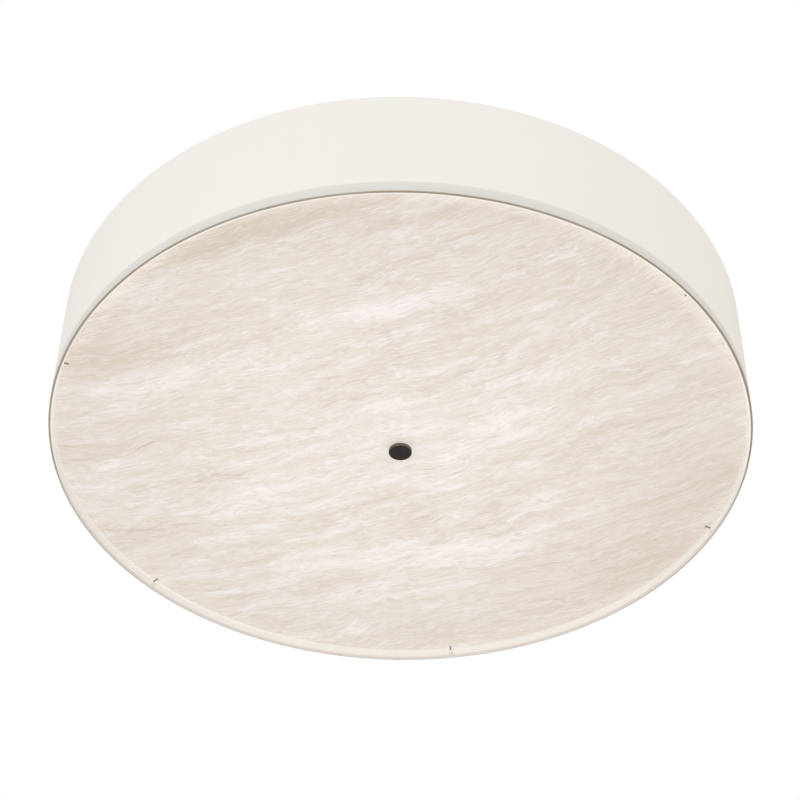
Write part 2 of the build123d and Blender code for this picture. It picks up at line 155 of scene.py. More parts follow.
class PanelSizes(bpy.types.PropertyGroup):
    """Sizes of the diffuser panel, its tabs and the finial."""

    radius: length("Radius", high_corner("diffuser_panel").x, "Radius of the panel")
    face: length("Face", low_corner("diffuser_panel").z, "Height of the lower face")
    back: length("Back", high_corner("diffuser_panel").z, "Height of the upper face")
    hole: length("Hole", 0.0065, "Radius of the centre hole")
    edge: length("Edge", 0.0005, "Rounding of the panel's edges")
    tab_wire: length("Tab wire", 0.001, "Wire radius of the tabs under the panel")
    tab_bend: length("Tab bend", 0.0017, "Bend radius of the tabs")
    tab_reach: length("Tab reach", 0.0090, "How far a tab reaches in from its leg")
    finial_edge: length("Finial edge", 0.0011, "Rounding of the finial's face")
    finial_neck: length("Finial neck", 0.0085, "Radius of the finial's neck")
    finial_step: length("Finial step", 0.002, "Height of the finial's neck")
    finial_face: length("Finial face", 0.0016, "Thickness of the finial's face")


class FittingSizes(bpy.types.PropertyGroup):
    """Sizes of threads, nuts and other small fittings."""

    edge: length("Edge", 0.0003, "Rounding of metal edges")
    thread_pitch: length("Thread pitch", 0.00094, "Pitch of the tubes' threads")
    thread_depth: length("Thread depth", 0.0004, "Depth of the tubes' threads")
    screw_pitch: length("Lamp screw pitch", 0.00363, "Pitch of the lamps' screw bases")
    screw_depth: length("Lamp screw depth", 0.0008, "Depth of the lamps' screw threads")
    tube: length("Tube", high_corner("finial_rod").x, "Radius of the threaded tubes")
    bore: length("Bore", 0.0035, "Bore radius of the threaded tubes")
    weld: length("Weld", 0.0016, "Size of the spider's weld beads")
    nut: length("Nut", 0.005, "Thickness of the nuts")
    nut_flats: length("Nut flats", 0.015, "Width of the small nuts across their flats")
    stem_nut_flats: length("Stem nut flats", 0.020, "Width of the stem's nuts across their flats")
    stem_bore: length("Stem bore", 0.0046, "Bore radius of the hanging tube")
    lead_in: length("Lead-in", 0.0006, "Plain stretch at each end of a threaded tube")
    can_wall: length("Can wall", 0.0015, "Thickness of the lamp can's sheet")
    canopy_wall: length("Canopy wall", 0.0012, "Thickness of the canopy's sheet")
    canopy_shoulder: length("Canopy shoulder", 0.014, "Outside radius of the canopy's shoulder")
    shank: length("Shank", 0.002, "Shank radius of the thumb screw and the ground screw")
    socket_neck: length("Socket neck", 0.014, "Radius of the sockets' narrow back")
    lamp_neck: length("Lamp neck", 0.015, "Radius of the lamps' necks")
    thread_air: length("Thread air", 0.00005, "Air round a thread or at a weld")
    slide_air: length("Slide air", 0.00008, "Air round what slides or turns")
    hole_air: length("Hole air", 0.0004, "Air round a tube in a plain hole")


class FinishColours(bpy.types.PropertyGroup):
    """Colours of the finishes."""

    cloth: colour("Cloth", (0.80, 0.775, 0.735), "Off-white cloth, unlit")
    # Painted shade: this dark colour stands in for the shade under the rim where the wall turns under.
    cloth_under_shade: colour("Cloth underside", (0.350, 0.265, 0.165), "Cloth where it turns under at the rim")
    # Painted shade: this darker colour stands in for the shade on the hem's inner roll at the back.
    cloth_roll_shade: colour("Cloth roll", (0.76, 0.70, 0.64), "Inner side of the rolled hem")
    liner: colour("Liner", (0.86, 0.85, 0.82), "Translucent liner")
    stone: colour("Stone", (0.700, 0.636, 0.580), "Ground colour of the veined panel")
    cloud: colour("Cloud", (0.812, 0.782, 0.782), "Pale clouds in the panel")
    streak: colour("Streak", (0.565, 0.480, 0.378), "Beige streaks in the panel")
    hairline: colour("Hairline", (0.430, 0.340, 0.255), "Fine veins in the panel")
    bronze: colour("Bronze", (0.034, 0.026, 0.020), "Dark bronze of the finial and frame")
    bronze_worn: colour("Worn bronze", (0.20, 0.13, 0.075), "Bronze where edges are rubbed")
    # Painted highlight on the finial's turned rim.
    bronze_rim_highlight: colour("Bronze rim", (0.175, 0.150, 0.115), "Bronze where light catches a turned rim")
    tab: colour("Tab", (0.37, 0.34, 0.29), "Lacquered wire of the tabs")
    enamel: colour("Enamel", (0.80, 0.79, 0.76), "White enamel of the lamp cluster")
    zinc: colour("Zinc", (0.58, 0.585, 0.58), "Plated steel")
    brass: colour("Brass", (0.66, 0.47, 0.22), "Drawn brass")
    nickel: colour("Nickel", (0.66, 0.64, 0.60), "Screw bases of the lamps")
    porcelain: colour("Porcelain", (0.80, 0.785, 0.74), "Glazed sockets")
    opal: colour("Opal", (0.86, 0.84, 0.80), "Opal envelope of the lamps")
    rubber: colour("Rubber", (0.030, 0.029, 0.028), "Washer under the panel")
    moulded: colour("Moulded", (0.62, 0.61, 0.56), "Terminal block")
    lead_live: colour("Live lead", (0.025, 0.025, 0.027), "Sleeve of the live lead")
    lead_return: colour("Return lead", (0.80, 0.79, 0.75), "Sleeve of the return lead")
    lead_earth: colour("Earth lead", (0.10, 0.30, 0.09), "Sleeve of the earth lead")


class GlowLevels(bpy.types.PropertyGroup):
    """Light that comes through the lit parts."""

    wall: colour("Wall", (0.205, 0.196, 0.182), "Light through the cloth wall")
    hem: share("Hem", 0.25, "Share of that light where the cloth lies double")
    fold: share("Fold", 1.05, "Share of that light on the turned-in cloth")
    liner: colour("Liner", (0.190, 0.184, 0.168), "Light inside the drum")
    panel: share("Panel", 0.845, "Light through the panel, as a share of its colour")
    opal: colour("Opal", (1.6, 1.5, 1.34), "Light of the lamps")
    reach: length("Reach", 0.16, "How fast a lamp's light falls off on what is near it")


class StudioSettings(bpy.types.PropertyGroup):
    """Camera, floor and soft light."""

    lens: FloatProperty(name="Lens", description="Focal length in millimetres", default=90.0)
    camera: FloatVectorProperty(name="Camera", description="Where the camera stands", size=3,
                                default=(-0.00124, -1.96798, -1.98068), precision=5, unit="LENGTH")
    pitch: turn("Pitch", 0.74723, "How far the camera looks up")
    roll: turn("Roll", 0.01337, "How far the camera leans")
    floor: length("Floor", -4.2, "Height of the floor")
    floor_size: length("Floor size", 30.0, "Side of the floor")
    floor_colour: colour("Floor colour", (0.86, 0.855, 0.845), "Pale floor")
    sky: share("Sky", 0.72, "Strength of the even light from all round")


# Shader trees

class Wiring:
    """Adds nodes to one shader tree and joins their sockets."""

    def __init__(self, tree):
        self.tree = tree

    def feed(self, socket, value):
        """Links another socket in, or sets a plain value."""
        if isinstance(value, bpy.types.NodeSocket):
            self.tree.links.new(value, socket)
        else:
            socket.default_value = value

    def node(self, kind, inputs=None, **settings):
        """New node of this kind with its settings and inputs."""
        made = self.tree.nodes.new(kind)
        made.location = (220 * (len(self.tree.nodes) % 12), -260 * (len(self.tree.nodes) // 12))
        for key, value in settings.items():
            setattr(made, key, value)
        for key, value in (inputs or {}).items():
            self.feed(made.inputs[key], value)
        return made

    def math(self, operation, *values, clamp=False):
        """Arithmetic on one, two or three values."""
        return self.node("ShaderNodeMath", dict(enumerate(values)), operation=operation,
                         use_clamp=clamp).outputs[0]

    def times(self, one, other, clamp=False):
        """Product of two values."""
        return self.math("MULTIPLY", one, other, clamp=clamp)

    def plus(self, one, other, clamp=False):
        """Sum of two values."""
        return self.math("ADD", one, other, clamp=clamp)

    def minus(self, one, other):
        """First value less the other."""
        return self.math("SUBTRACT", one, other)

    def over(self, one, other):
        """First value divided by the other."""
        return self.math("DIVIDE", one, other)

    def times_plus(self, one, other, added):
        """Product of two values, and a third added."""
        return self.math("MULTIPLY_ADD", one, other, added)

    def fade(self, value, start, end, low=0.0, high=1.0):
        """Soft step from low to high while the value goes from start to end."""
        return self.node("ShaderNodeMapRange", {0: value, 1: start, 2: end, 3: low, 4: high},
                         interpolation_type="SMOOTHSTEP").outputs[0]

    def mix(self, factor, first, second, blend="MIX"):
        """Mix of two colours."""
        colours = {0: factor, 6: opaque(first), 7: opaque(second)}
        return self.node("ShaderNodeMix", colours, data_type="RGBA", blend_type=blend).outputs[2]

    def dimmed(self, colour, level):
        """Colour times a number."""
        return self.mix(1.0, colour, self.joined(level, level, level), "MULTIPLY")

    def noise(self, vector, scale, detail=2.0, roughness=0.5, distortion=0.0, output="Fac"):
        """Smooth noise over the surface."""
        inputs = {"Vector": vector, "Scale": scale, "Detail": detail, "Roughness": roughness,
                  "Distortion": distortion}
        return self.node("ShaderNodeTexNoise", inputs).outputs[output]

    def stretched(self, vector, scale, rotation=(0.0, 0.0, 0.0), place=(0.0, 0.0, 0.0)):
        """Vector turned, stretched and shifted."""
        return self.node("ShaderNodeMapping", {"Vector": vector, "Location": place, "Rotation": rotation,
                                               "Scale": scale}).outputs[0]

    def parts(self, vector):
        """The x, y and z of a vector."""
        return self.node("ShaderNodeSeparateXYZ", {0: vector}).outputs

    def joined(self, x, y, z):
        """Vector of three values."""
        return self.node("ShaderNodeCombineXYZ", {0: x, 1: y, 2: z}).outputs[0]

    def place(self):
        """Position on the part in the row frame."""
        return self.node("ShaderNodeTexCoord").outputs["Object"]

    def group(self, name, **inputs):
        """Copy of a shared effect with its own values."""
        made = self.node("ShaderNodeGroup", node_tree=bpy.data.node_groups[name])
        for key, value in inputs.items():
            self.feed(made.inputs[key.replace("_", " ").capitalize()], value)
        return made.outputs

    def bump(self, height, distance, strength=1.0, normal=None):
        """Bump from a height; distance is in metres."""
        made = self.node("ShaderNodeBump", {"Height": height, "Distance": distance, "Strength": strength})
        if normal:
            self.feed(made.inputs["Normal"], normal)
        return made.outputs[0]


def opaque(value):
    """Colour with its alpha, or the socket as it is."""
    return value if isinstance(value, bpy.types.NodeSocket) else (*value, 1.0)


def new_effect(name, inputs, outputs):
    """Empty node group with named sockets; gives its wiring, its inputs and its output node."""
    tree = bpy.data.node_groups.new(name, "ShaderNodeTree")
    for label, kind, default in inputs:
        socket = tree.interface.new_socket(name=label, in_out="INPUT", socket_type="NodeSocket" + kind)
        if default is not None:
            socket.default_value = default
    for label, kind in outputs:
        tree.interface.new_socket(name=label, in_out="OUTPUT", socket_type="NodeSocket" + kind)
    wiring = Wiring(tree)
    return wiring, wiring.node("NodeGroupInput").outputs, wiring.node("NodeGroupOutput").inputs


def build_woven_cloth():
    """Threads that cross over and under round the drum, with slubs."""
    w, given, out = new_effect(
        "Woven cloth",
        [("Place", "Vector", None), ("Threads round", "Float", 5200.0), ("Thread pitch", "Float", 0.00055),
         ("Slub", "Float", 0.5)],
        [("Height", "Float"), ("Slubs", "Float")],
    )
    x, y, z = w.parts(given["Place"])
    warp = w.math("SINE", w.times(w.math("ARCTAN2", y, x), given["Threads round"]))
    weft = w.math("SINE", w.times(w.over(z, given["Thread pitch"]), tau))
    crossing = w.times_plus(w.times(warp, weft), 0.5, 0.5)
    level = w.noise(w.stretched(given["Place"], (45.0, 45.0, 1500.0)), 1.0, 2.0)
    upright = w.noise(w.stretched(given["Place"], (1300.0, 1300.0, 30.0)), 1.0, 2.0)
    slubs = w.plus(w.fade(level, 0.42, 0.72), w.fade(upright, 0.45, 0.75))
    w.feed(out["Slubs"], w.times(slubs, 0.5))
    w.feed(out["Height"], w.times_plus(w.times(slubs, given["Slub"]), 1.0, crossing))


def build_fine_grain():
    """Small even unevenness, as on paint, glaze or moulded plastic."""
    w, given, out = new_effect(
        "Fine grain",
        [("Place", "Vector", None), ("Size", "Float", 0.001)],
        [("Height", "Float"), ("Mottle", "Float")],
    )
    scale = w.over(1.0, given["Size"])
    w.feed(out["Height"], w.noise(given["Place"], scale, 3.0, 0.55))
    w.feed(out["Mottle"], w.noise(given["Place"], w.times(scale, 0.08), 4.0, 0.6))


def build_brushed_lines():
    """Fine lines left by rolling, drawing or polishing."""
    w, given, out = new_effect(
        "Brushed lines",
        [("Stretched place", "Vector", None), ("Contrast", "Float", 0.5)],
        [("Height", "Float"), ("Lines", "Float")],
    )
    lines = w.noise(given["Stretched place"], 1.0, 4.0, 0.65)
    w.feed(out["Height"], lines)
    spread = w.times(w.minus(lines, 0.5), given["Contrast"])
    w.feed(out["Lines"], w.plus(spread, 0.5, clamp=True))


def build_worn_edges():
    """Mask of rubbed edges from how sharply the surface turns."""
    w, given, out = new_effect(
        "Worn edges",
        [("Sharpness", "Float", 0.5), ("Place", "Vector", None), ("Amount", "Float", 0.5)],
        [("Mask", "Float")],
    )
    ragged = w.times_plus(w.noise(given["Place"], 260.0, 4.0, 0.65), 0.10, -0.05)
    edge = w.fade(w.plus(given["Sharpness"], ragged), 0.52, 0.62)
    w.feed(out["Mask"], w.times(edge, given["Amount"], clamp=True))


def build_settled_dust():
    """Mask of thin dust on what faces up."""
    w, given, out = new_effect(
        "Settled dust",
        [("Place", "Vector", None), ("Facing", "Vector", None), ("Amount", "Float", 0.3)],
        [("Mask", "Float")],
    )
    upward = w.fade(w.parts(given["Facing"])[2], 0.35, 0.95)
    patches = w.fade(w.noise(given["Place"], 38.0, 5.0, 0.6), 0.35, 0.7)
    w.feed(out["Mask"], w.times(w.times(upward, patches), given["Amount"]))


def build_lamp_light():
    """How near a place is to the lamps, from 0 to about 1."""
    w, given, out = new_effect(
        "Lamp light",
        [("Place", "Vector", None), ("Reach", "Float", 0.16)],
        [("Light", "Float")],
    )
    total = 0.0
    for angle in LAMP_ANGLES:
        lamp = ray(angle) * LAMP_REACH + Vector((0, 0, LAMP_HEIGHT))
        away = w.node("ShaderNodeVectorMath", {0: given["Place"], 1: lamp}, operation="DISTANCE").outputs[1]
        far = w.math("POWER", w.over(away, given["Reach"]), 2.0)
        total = w.plus(w.over(1.0, w.plus(far, 1.0)), total)
    w.feed(out["Light"], total)


# Pale and dark patches of the panel: x, y, half length, half width and strength
CLOUDS = (
    (-0.03, -0.246, 0.085, 0.016, 1.15), (0.05, -0.275, 0.05, 0.012, 0.2), (0.150, -0.060, 0.06, 0.030, 0.65),
    (0.10, 0.215, 0.09, 0.026, 1.2), (-0.185, 0.107, 0.08, 0.030, 0.7), (-0.08, 0.235, 0.09, 0.022, 1.1),
    (-0.33, -0.12, 0.09, 0.020, 0.7), (0.30, 0.10, 0.05, 0.020, 0.3), (-0.06, 0.32, 0.08, 0.022, 0.6),
    (0.00, -0.03, 0.14, 0.12, 0.45), (0.02, -0.425, 0.04, 0.012, 0.6), (-0.39, 0.10, 0.06, 0.05, 0.6),
)
SHADOWS = (
    (-0.19, -0.375, 0.12, 0.030, 0.9), (0.15, -0.395, 0.09, 0.030, 0.65), (0.27, -0.33, 0.08, 0.040, 0.75),
    (-0.405, -0.15, 0.06, 0.035, 0.85), (0.38, 0.05, 0.09, 0.080, 1.3), (0.28, 0.25, 0.14, 0.055, 1.25),
    (-0.25, -0.22, 0.12, 0.020, 0.8), (0.245, -0.225, 0.05, 0.020, 0.6),
    (0.37, -0.13, 0.07, 0.030, 0.6),
)


VEIN_LEAN = radians(22)
VEIN_BEND = 0.20
# Drifts of the streaks, from wide to fine: scale, push along and across, and seed
DRIFTS = ((5.0, 0.10, 0.055, 0.0), (17.0, 0.035, 0.016, 3.0), (55.0, 0.012, 0.0055, 7.0))


def spot_in_streaks(x, y):
    """Position of a spot along and across the streaks, which bend gently."""
    along = x * cos(VEIN_LEAN) - y * sin(VEIN_LEAN)
    return along, x * sin(VEIN_LEAN) + y * cos(VEIN_LEAN) + VEIN_BEND * along * along


def place_in_streaks(w, place):
    """Position of a place along and across the streaks, with their drift."""
    x, y, _ = w.parts(place)
    flat = w.joined(x, y, 0.0)
    along = w.minus(w.times(x, cos(VEIN_LEAN)), w.times(y, sin(VEIN_LEAN)))
    level = w.plus(w.times(x, sin(VEIN_LEAN)), w.times(y, cos(VEIN_LEAN)))
    across = w.times_plus(w.times(along, along), VEIN_BEND, level)
    for scale, push_along, push_across, seed in DRIFTS:
        moved = w.stretched(flat, (1, 1, 1), place=(seed, seed, seed))
        drift = w.parts(w.noise(moved, scale, 2.0, output="Color"))
        along = w.times_plus(w.minus(drift[0], 0.5), push_along, along)
        across = w.times_plus(w.minus(drift[1], 0.5), push_across, across)
    return along, across


def streaks(w, spot, per_along, per_across, detail, seed, roughness=0.55):
    """Noise drawn out along the streaks."""
    drawn = w.joined(w.times(spot[0], per_along), w.times(spot[1], per_across), seed)
    return w.noise(drawn, 1.0, detail, roughness)


def patches(w, spot, patch_list):
    """Sum of soft long patches."""
    total = 0.0
    for x, y, half_length, half_width, strength in patch_list:
        along, across = spot_in_streaks(x, y)
        dx = w.over(w.minus(spot[0], along), half_length)
        dy = w.over(w.minus(spot[1], across), half_width)
        away = w.plus(w.times(dx, dx), w.times(dy, dy))
        total = w.plus(total, w.over(strength, w.plus(w.times(away, away), 1.0)))
    return total


def build_stone_veins():
    """Veined acrylic: long streaks, pale feathered clouds and fine hairlines."""
    w, given, out = new_effect(
        "Stone veins",
        [("Place", "Vector", None), ("Ground", "Color", None), ("Cloud", "Color", None),
         ("Streak", "Color", None), ("Hairline", "Color", None)],
        [("Colour", "Color"), ("Height", "Float")],
    )
    spot = place_in_streaks(w, given["Place"])
    band = streaks(w, spot, 3.0, 16.0, 3.0, 1.3)
    streak = streaks(w, spot, 11.0, 85.0, 4.0, 5.1, 0.62)
    fibre = streaks(w, spot, 30.0, 270.0, 4.0, 9.7, 0.66)
    thread = streaks(w, spot, 62.0, 560.0, 3.0, 33.3, 0.65)
    cloud = streaks(w, spot, 11.0, 44.0, 6.0, 14.2, 0.68)
    vein = streaks(w, spot, 5.0, 46.0, 2.0, 21.5)
    vein_place = streaks(w, spot, 10.0, 22.0, 2.0, 28.0)
    curl = w.noise(w.joined(spot[0], w.times(spot[1], 1.8), 41.0), 75.0, 4.0, 0.62, 1.6)
    bright, dark = patches(w, spot, CLOUDS), patches(w, spot, SHADOWS)
    lift = w.times_plus(bright, 0.15, w.times(dark, -0.11))
    broken = w.times_plus(w.plus(fibre, curl), 0.46, -0.46)
    cloud_mask = w.fade(w.plus(w.plus(cloud, lift), broken), 0.46, 0.76)
    drawn = w.times_plus(band, 0.6, w.times(streak, 0.6))
    streak_mask = w.fade(w.minus(drawn, w.times(lift, 0.8)), 0.50, 0.84)
    ridge = w.math("ABSOLUTE", w.minus(vein, 0.5))
    hair_mask = w.times(w.fade(ridge, 0.0, 0.020, 1.0, 0.0), w.fade(vein_place, 0.52, 0.68))
    tone = w.mix(w.times(streak_mask, 0.66), given["Ground"], given["Streak"])
    tone = w.mix(w.fade(fibre, 0.40, 0.68, 0.0, 0.22), tone, given["Streak"])
    tone = w.mix(w.times(cloud_mask, 0.72), tone, given["Cloud"])
    tone = w.mix(w.fade(thread, 0.51, 0.70, 0.0, 0.52), tone, given["Streak"])
    tone = w.mix(w.fade(thread, 0.49, 0.29, 0.0, 0.60), tone, given["Cloud"])
    tone = w.mix(w.times(hair_mask, 0.38), tone, given["Hairline"])
    w.feed(out["Colour"], tone)
    w.feed(out["Height"], w.times_plus(cloud, 0.5, w.times(streak, 0.5)))


# Finishes

def new_finish(name):
    """Empty material; gives its wiring, the place on the part and a function that adds the shader."""
    material = bpy.data.materials.new(name)
    material.use_nodes = True
    material.node_tree.nodes.clear()
    w = Wiring(material.node_tree)

    def close(base, roughness, metallic=0.0, normal=None, glow=None, **constants):
        """Joins the colours, masks and normal to the shader; constants stay on its own sockets."""
        shader = w.node("ShaderNodeBsdfPrincipled")
        w.feed(shader.inputs["Base Color"], opaque(base))
        w.feed(shader.inputs["Roughness"], roughness)
        w.feed(shader.inputs["Metallic"], metallic)
        if normal:
            w.feed(shader.inputs["Normal"], normal)
        if glow:
            w.feed(shader.inputs["Emission Color"], opaque(glow))
            shader.inputs["Emission Strength"].default_value = 1.0
        for key, value in constants.items():
            shader.inputs[key.replace("_", " ")].default_value = value
        output = w.node("ShaderNodeOutputMaterial")
        w.feed(output.inputs["Surface"], shader.outputs[0])

    return w, w.place(), close


def radius_of(w, place):
    """Distance of a place from the axis."""
    x, y, _ = w.parts(place)
    return w.math("SQRT", w.plus(w.times(x, x), w.times(y, y)))


FAR_SIDE = (-0.02, 0.18)  # the drum's far side begins between these places along Y


def cloth_wall_light(w, x, height, sizes, glow):
    """Light through the wall, full where the cloth is single and weaker over the hems, where the cloth lies
    double and the bottom band lies in the panel's shade; painted shade dims it towards the sides along X.
    """
    band = sizes.rim + sizes.fold + sizes.glue_line
    above_hem = w.fade(height, band - 0.0018, band + 0.0016)
    below_top = w.fade(height, sizes.top - 0.0030, sizes.top - 0.0012, 1.0, 0.55)
    single = w.times(above_hem, below_top)
    doubled = w.fade(height, sizes.rim, band, 0.5 * glow.hem, 1.7 * glow.hem)
    wall = w.times_plus(single, w.minus(1.0, doubled), doubled)
    # Painted shade: the wall's light fades towards the sides along X.
    return w.times(wall, w.fade(x, 0.88 * sizes.radius, 0.98 * sizes.radius, 1.0, 0.80))


def cloth_fold_light(w, y, height, sizes, glow):
    """Light on the turned-in cloth, stronger on the near side's lip."""
    low = w.fade(height, sizes.rim + 0.0045, sizes.rim + 0.0100, 1.0, 0.0)
    lip = w.times(low, w.fade(y, -0.12, 0.10, 1.0, 0.0))
    return w.times(w.times_plus(lip, 0.72, 1.0), glow.fold)


def rim_underside_shade(w, place, radius, sizes):
    """Mask of painted shade: the dark line where the wall turns under, weaker at the sides and the back."""
    x, y, height = w.parts(place)
    turned_under = w.fade(height, sizes.rim + 0.0013, sizes.rim + 0.0027, 1.0, 0.0)
    aside = w.fade(w.math("ABSOLUTE", x), 0.62 * sizes.radius, 0.94 * sizes.radius)
    moved = w.times_plus(aside, 0.0011, radius)
    underside_shade = w.times(turned_under, w.fade(moved, sizes.radius - 0.0021, sizes.radius - 0.0012))
    ragged = w.fade(w.noise(place, 9.0, 3.0, 0.6), 0.35, 0.70, 0.0, 0.15)
    back = w.fade(y, *FAR_SIDE)
    weaker = w.times_plus(back, 0.14, w.fade(y, -0.28, -0.44, 0.0, 0.14))
    weaker = w.times_plus(aside, w.times_plus(back, 0.26, 0.10), weaker)
    return w.times(underside_shade, w.minus(1.0, w.plus(weaker, ragged)))


def hem_roll_shade(w, y, height, radius, sizes):
    """Mask of painted shade on the rolled hem's inner side at the back."""
    inward = w.fade(radius, sizes.radius - 0.0019, sizes.radius - 0.0029)
    low = w.fade(height, sizes.rim + 0.0060, sizes.rim + 0.0110, 1.0, 0.0)
    return w.times(w.times(w.fade(y, *FAR_SIDE), inward), low)


def build_cloth_finish(name, sizes, colours, glow):
    """Woven shade cloth, lit from inside, dimmer where it lies double, with painted shade under the rim, on
    the hem's roll at the back and towards the sides.
    """
    w, place, close = new_finish(name)
    x, y, height = w.parts(place)
    radius = radius_of(w, place)
    woven = w.group("Woven cloth", Place=place)
    light = w.group("Lamp light", Place=place, Reach=glow.reach)["Light"]
    outside = w.fade(radius, sizes.radius - 0.0013, sizes.radius - 0.0008)
    wall = cloth_wall_light(w, x, height, sizes, glow)
    turned_in = cloth_fold_light(w, y, height, sizes, glow)
    underside_shade = rim_underside_shade(w, place, radius, sizes)
    roll = hem_roll_shade(w, y, height, radius, sizes)
    level = w.plus(w.times(wall, outside), w.times(w.minus(1.0, outside), turned_in))
    level = w.times(level, w.fade(light, 0.10, 0.75, 0.93, 1.03))
    level = w.times(level, w.fade(woven["Slubs"], 0.0, 1.0, 1.02, 0.955))
    # Painted shade under the rim dims the light here.
    level = w.times(level, w.minus(1.0, w.times(underside_shade, 0.97)))
    # Painted shade dims the light on the hem's roll at the back.
    level = w.times(level, w.minus(1.0, w.times(roll, 0.42)))
    tint = w.mix(w.fade(woven["Slubs"], 0.2, 0.9, 0.0, 0.10), colours.cloth, (0.66, 0.62, 0.55))
    # Painted shade: darker colour on the hem's roll at the back.
    tint = w.mix(roll, tint, colours.cloth_roll_shade)
    # Painted shade: dark colour under the rim.
    tint = w.mix(underside_shade, tint, colours.cloth_under_shade)
    weave = w.times(woven["Height"], w.fade(outside, 0.0, 1.0, 0.35, 1.0))
    close(tint, 0.86, normal=w.bump(weave, 0.00010, 0.32), glow=w.dimmed(glow.wall, level), Sheen_Weight=0.15,
          Sheen_Roughness=0.5, Specular_IOR_Level=0.25)


def build_liner_finish(name, sizes, colours, glow):
    """Translucent styrene liner that glows near the lamps, with painted shade towards the sides along X."""
    w, place, close = new_finish(name)
    grain = w.group("Fine grain", Place=place, Size=0.0016)
    light = w.group("Lamp light", Place=place, Reach=glow.reach)["Light"]
    level = w.times(w.fade(light, 0.08, 0.8, 0.9, 1.1), w.fade(grain["Mottle"], 0.3, 0.7, 0.97, 1.02))
    # Painted shade: the liner's glow is dimmed towards the sides along X.
    aside = w.math("ABSOLUTE", w.parts(place)[0])
    side_shade = w.fade(aside, 0.70 * sizes.radius, 0.98 * sizes.radius, 1.0, 0.62)
    level = w.times(level, side_shade)
    shine = w.dimmed(glow.liner, level)
    tint = w.mix(w.fade(grain["Mottle"], 0.35, 0.75, 0.0, 0.25), colours.liner, (0.80, 0.78, 0.73))
    close(tint, w.fade(grain["Height"], 0.3, 0.7, 0.62, 0.74), normal=w.bump(grain["Height"], 0.00002, 0.2),
          glow=shine, Specular_IOR_Level=0.2)


SKIN_SHARE = 0.42  # share of the panel's colour that its surface throws back; the rest is light through it


def build_panel_finish(name, sizes, colours, glow):
    """Veined acrylic panel with light coming through it, with painted shade towards its edge and painted
    light along its front edge.
    """
    w, place, close = new_finish(name)
    veins = w.group("Stone veins", Place=place, Ground=opaque(colours.stone), Cloud=opaque(colours.cloud),
                    Streak=opaque(colours.streak), Hairline=opaque(colours.hairline))
    radius = radius_of(w, place)
    light = w.group("Lamp light", Place=place, Reach=glow.reach)["Light"]
    # Painted shade: the light through the panel is a little weaker towards its edge.
    edge_shade = w.fade(radius, 0.20 * sizes.radius, 0.94 * sizes.radius, 1.01, 0.975)
    # Painted light: the front part of the panel's edge shines brighter.
    front = w.fade(w.parts(place)[1], -0.05, -0.34)
    front_edge_light = w.times(front, w.fade(radius, sizes.radius - 0.024, sizes.radius - 0.005))
    level = w.times(edge_shade, w.times_plus(front_edge_light, 0.18, 1.0))
    level = w.times(level, w.fade(light, 0.10, 1.2, 0.98, 1.05))
    level = w.times(level, glow.panel)
    # Painted shade: the colour turns darker and browner towards the edge.
    tint = w.mix(w.fade(radius, 0.85 * sizes.radius, sizes.radius, 0.0, 0.08), veins["Colour"],
                 colours.streak)
    shine = w.dimmed(tint, level)
    skin = w.mix(1.0, tint, (SKIN_SHARE, SKIN_SHARE, SKIN_SHARE), "MULTIPLY")
    grain = w.group("Fine grain", Place=place, Size=0.004)
    relief = w.bump(veins["Height"], 0.00012, 0.25)
    close(skin, w.fade(grain["Mottle"], 0.3, 0.7, 0.32, 0.42), normal=relief, glow=shine,
          Specular_IOR_Level=0.42)


def build_bronze_finish(name, colours, stretch, rim=None, rim_lacquer_and_highlight=None):
    """Dark bronze lacquer: mottled, brushed and rubbed at the edges, and paler past a rim radius, which is a
    painted highlight on the finial and the tabs' own lacquer colour on the tab wires.
    """
    w, place, close = new_finish(name)
    geometry = w.node("ShaderNodeNewGeometry").outputs
    brushed = w.group("Brushed lines", Stretched_place=w.stretched(place, stretch), Contrast=1.2)
    grain = w.group("Fine grain", Place=place, Size=0.0009)
    worn = w.group("Worn edges", Sharpness=geometry["Pointiness"], Place=place, Amount=0.55)["Mask"]
    dust = w.group("Settled dust", Place=place, Facing=geometry["Normal"], Amount=0.22)["Mask"]
    dark = w.mix(w.fade(grain["Mottle"], 0.3, 0.75, 0.0, 0.5), colours.bronze, (0.062, 0.046, 0.032))
    dark = w.mix(w.fade(brushed["Lines"], 0.5, 0.9, 0.0, 0.35), dark, (0.085, 0.064, 0.045))
    tint = w.mix(worn, dark, colours.bronze_worn)
    # Past the rim radius: a painted highlight on the turned finial, and on the tab wires their own lacquer
    # colour.
    if rim:
        radius = radius_of(w, place)
        tint = w.mix(w.fade(radius, rim - 0.0012, rim - 0.0002, 0.0, 0.9), tint, rim_lacquer_and_highlight)
    tint = w.mix(dust, tint, (0.30, 0.28, 0.25))
    rough = w.plus(w.fade(brushed["Lines"], 0.2, 0.8, 0.34, 0.46), w.times(dust, 0.4))
    metal = w.minus(0.85, w.times(dust, 0.6))
    relief = w.bump(brushed["Height"], 0.00003, 0.35, w.bump(grain["Height"], 0.00003, 0.25))
    close(tint, rough, metal, normal=relief, Coat_Weight=0.15, Coat_Roughness=0.25)


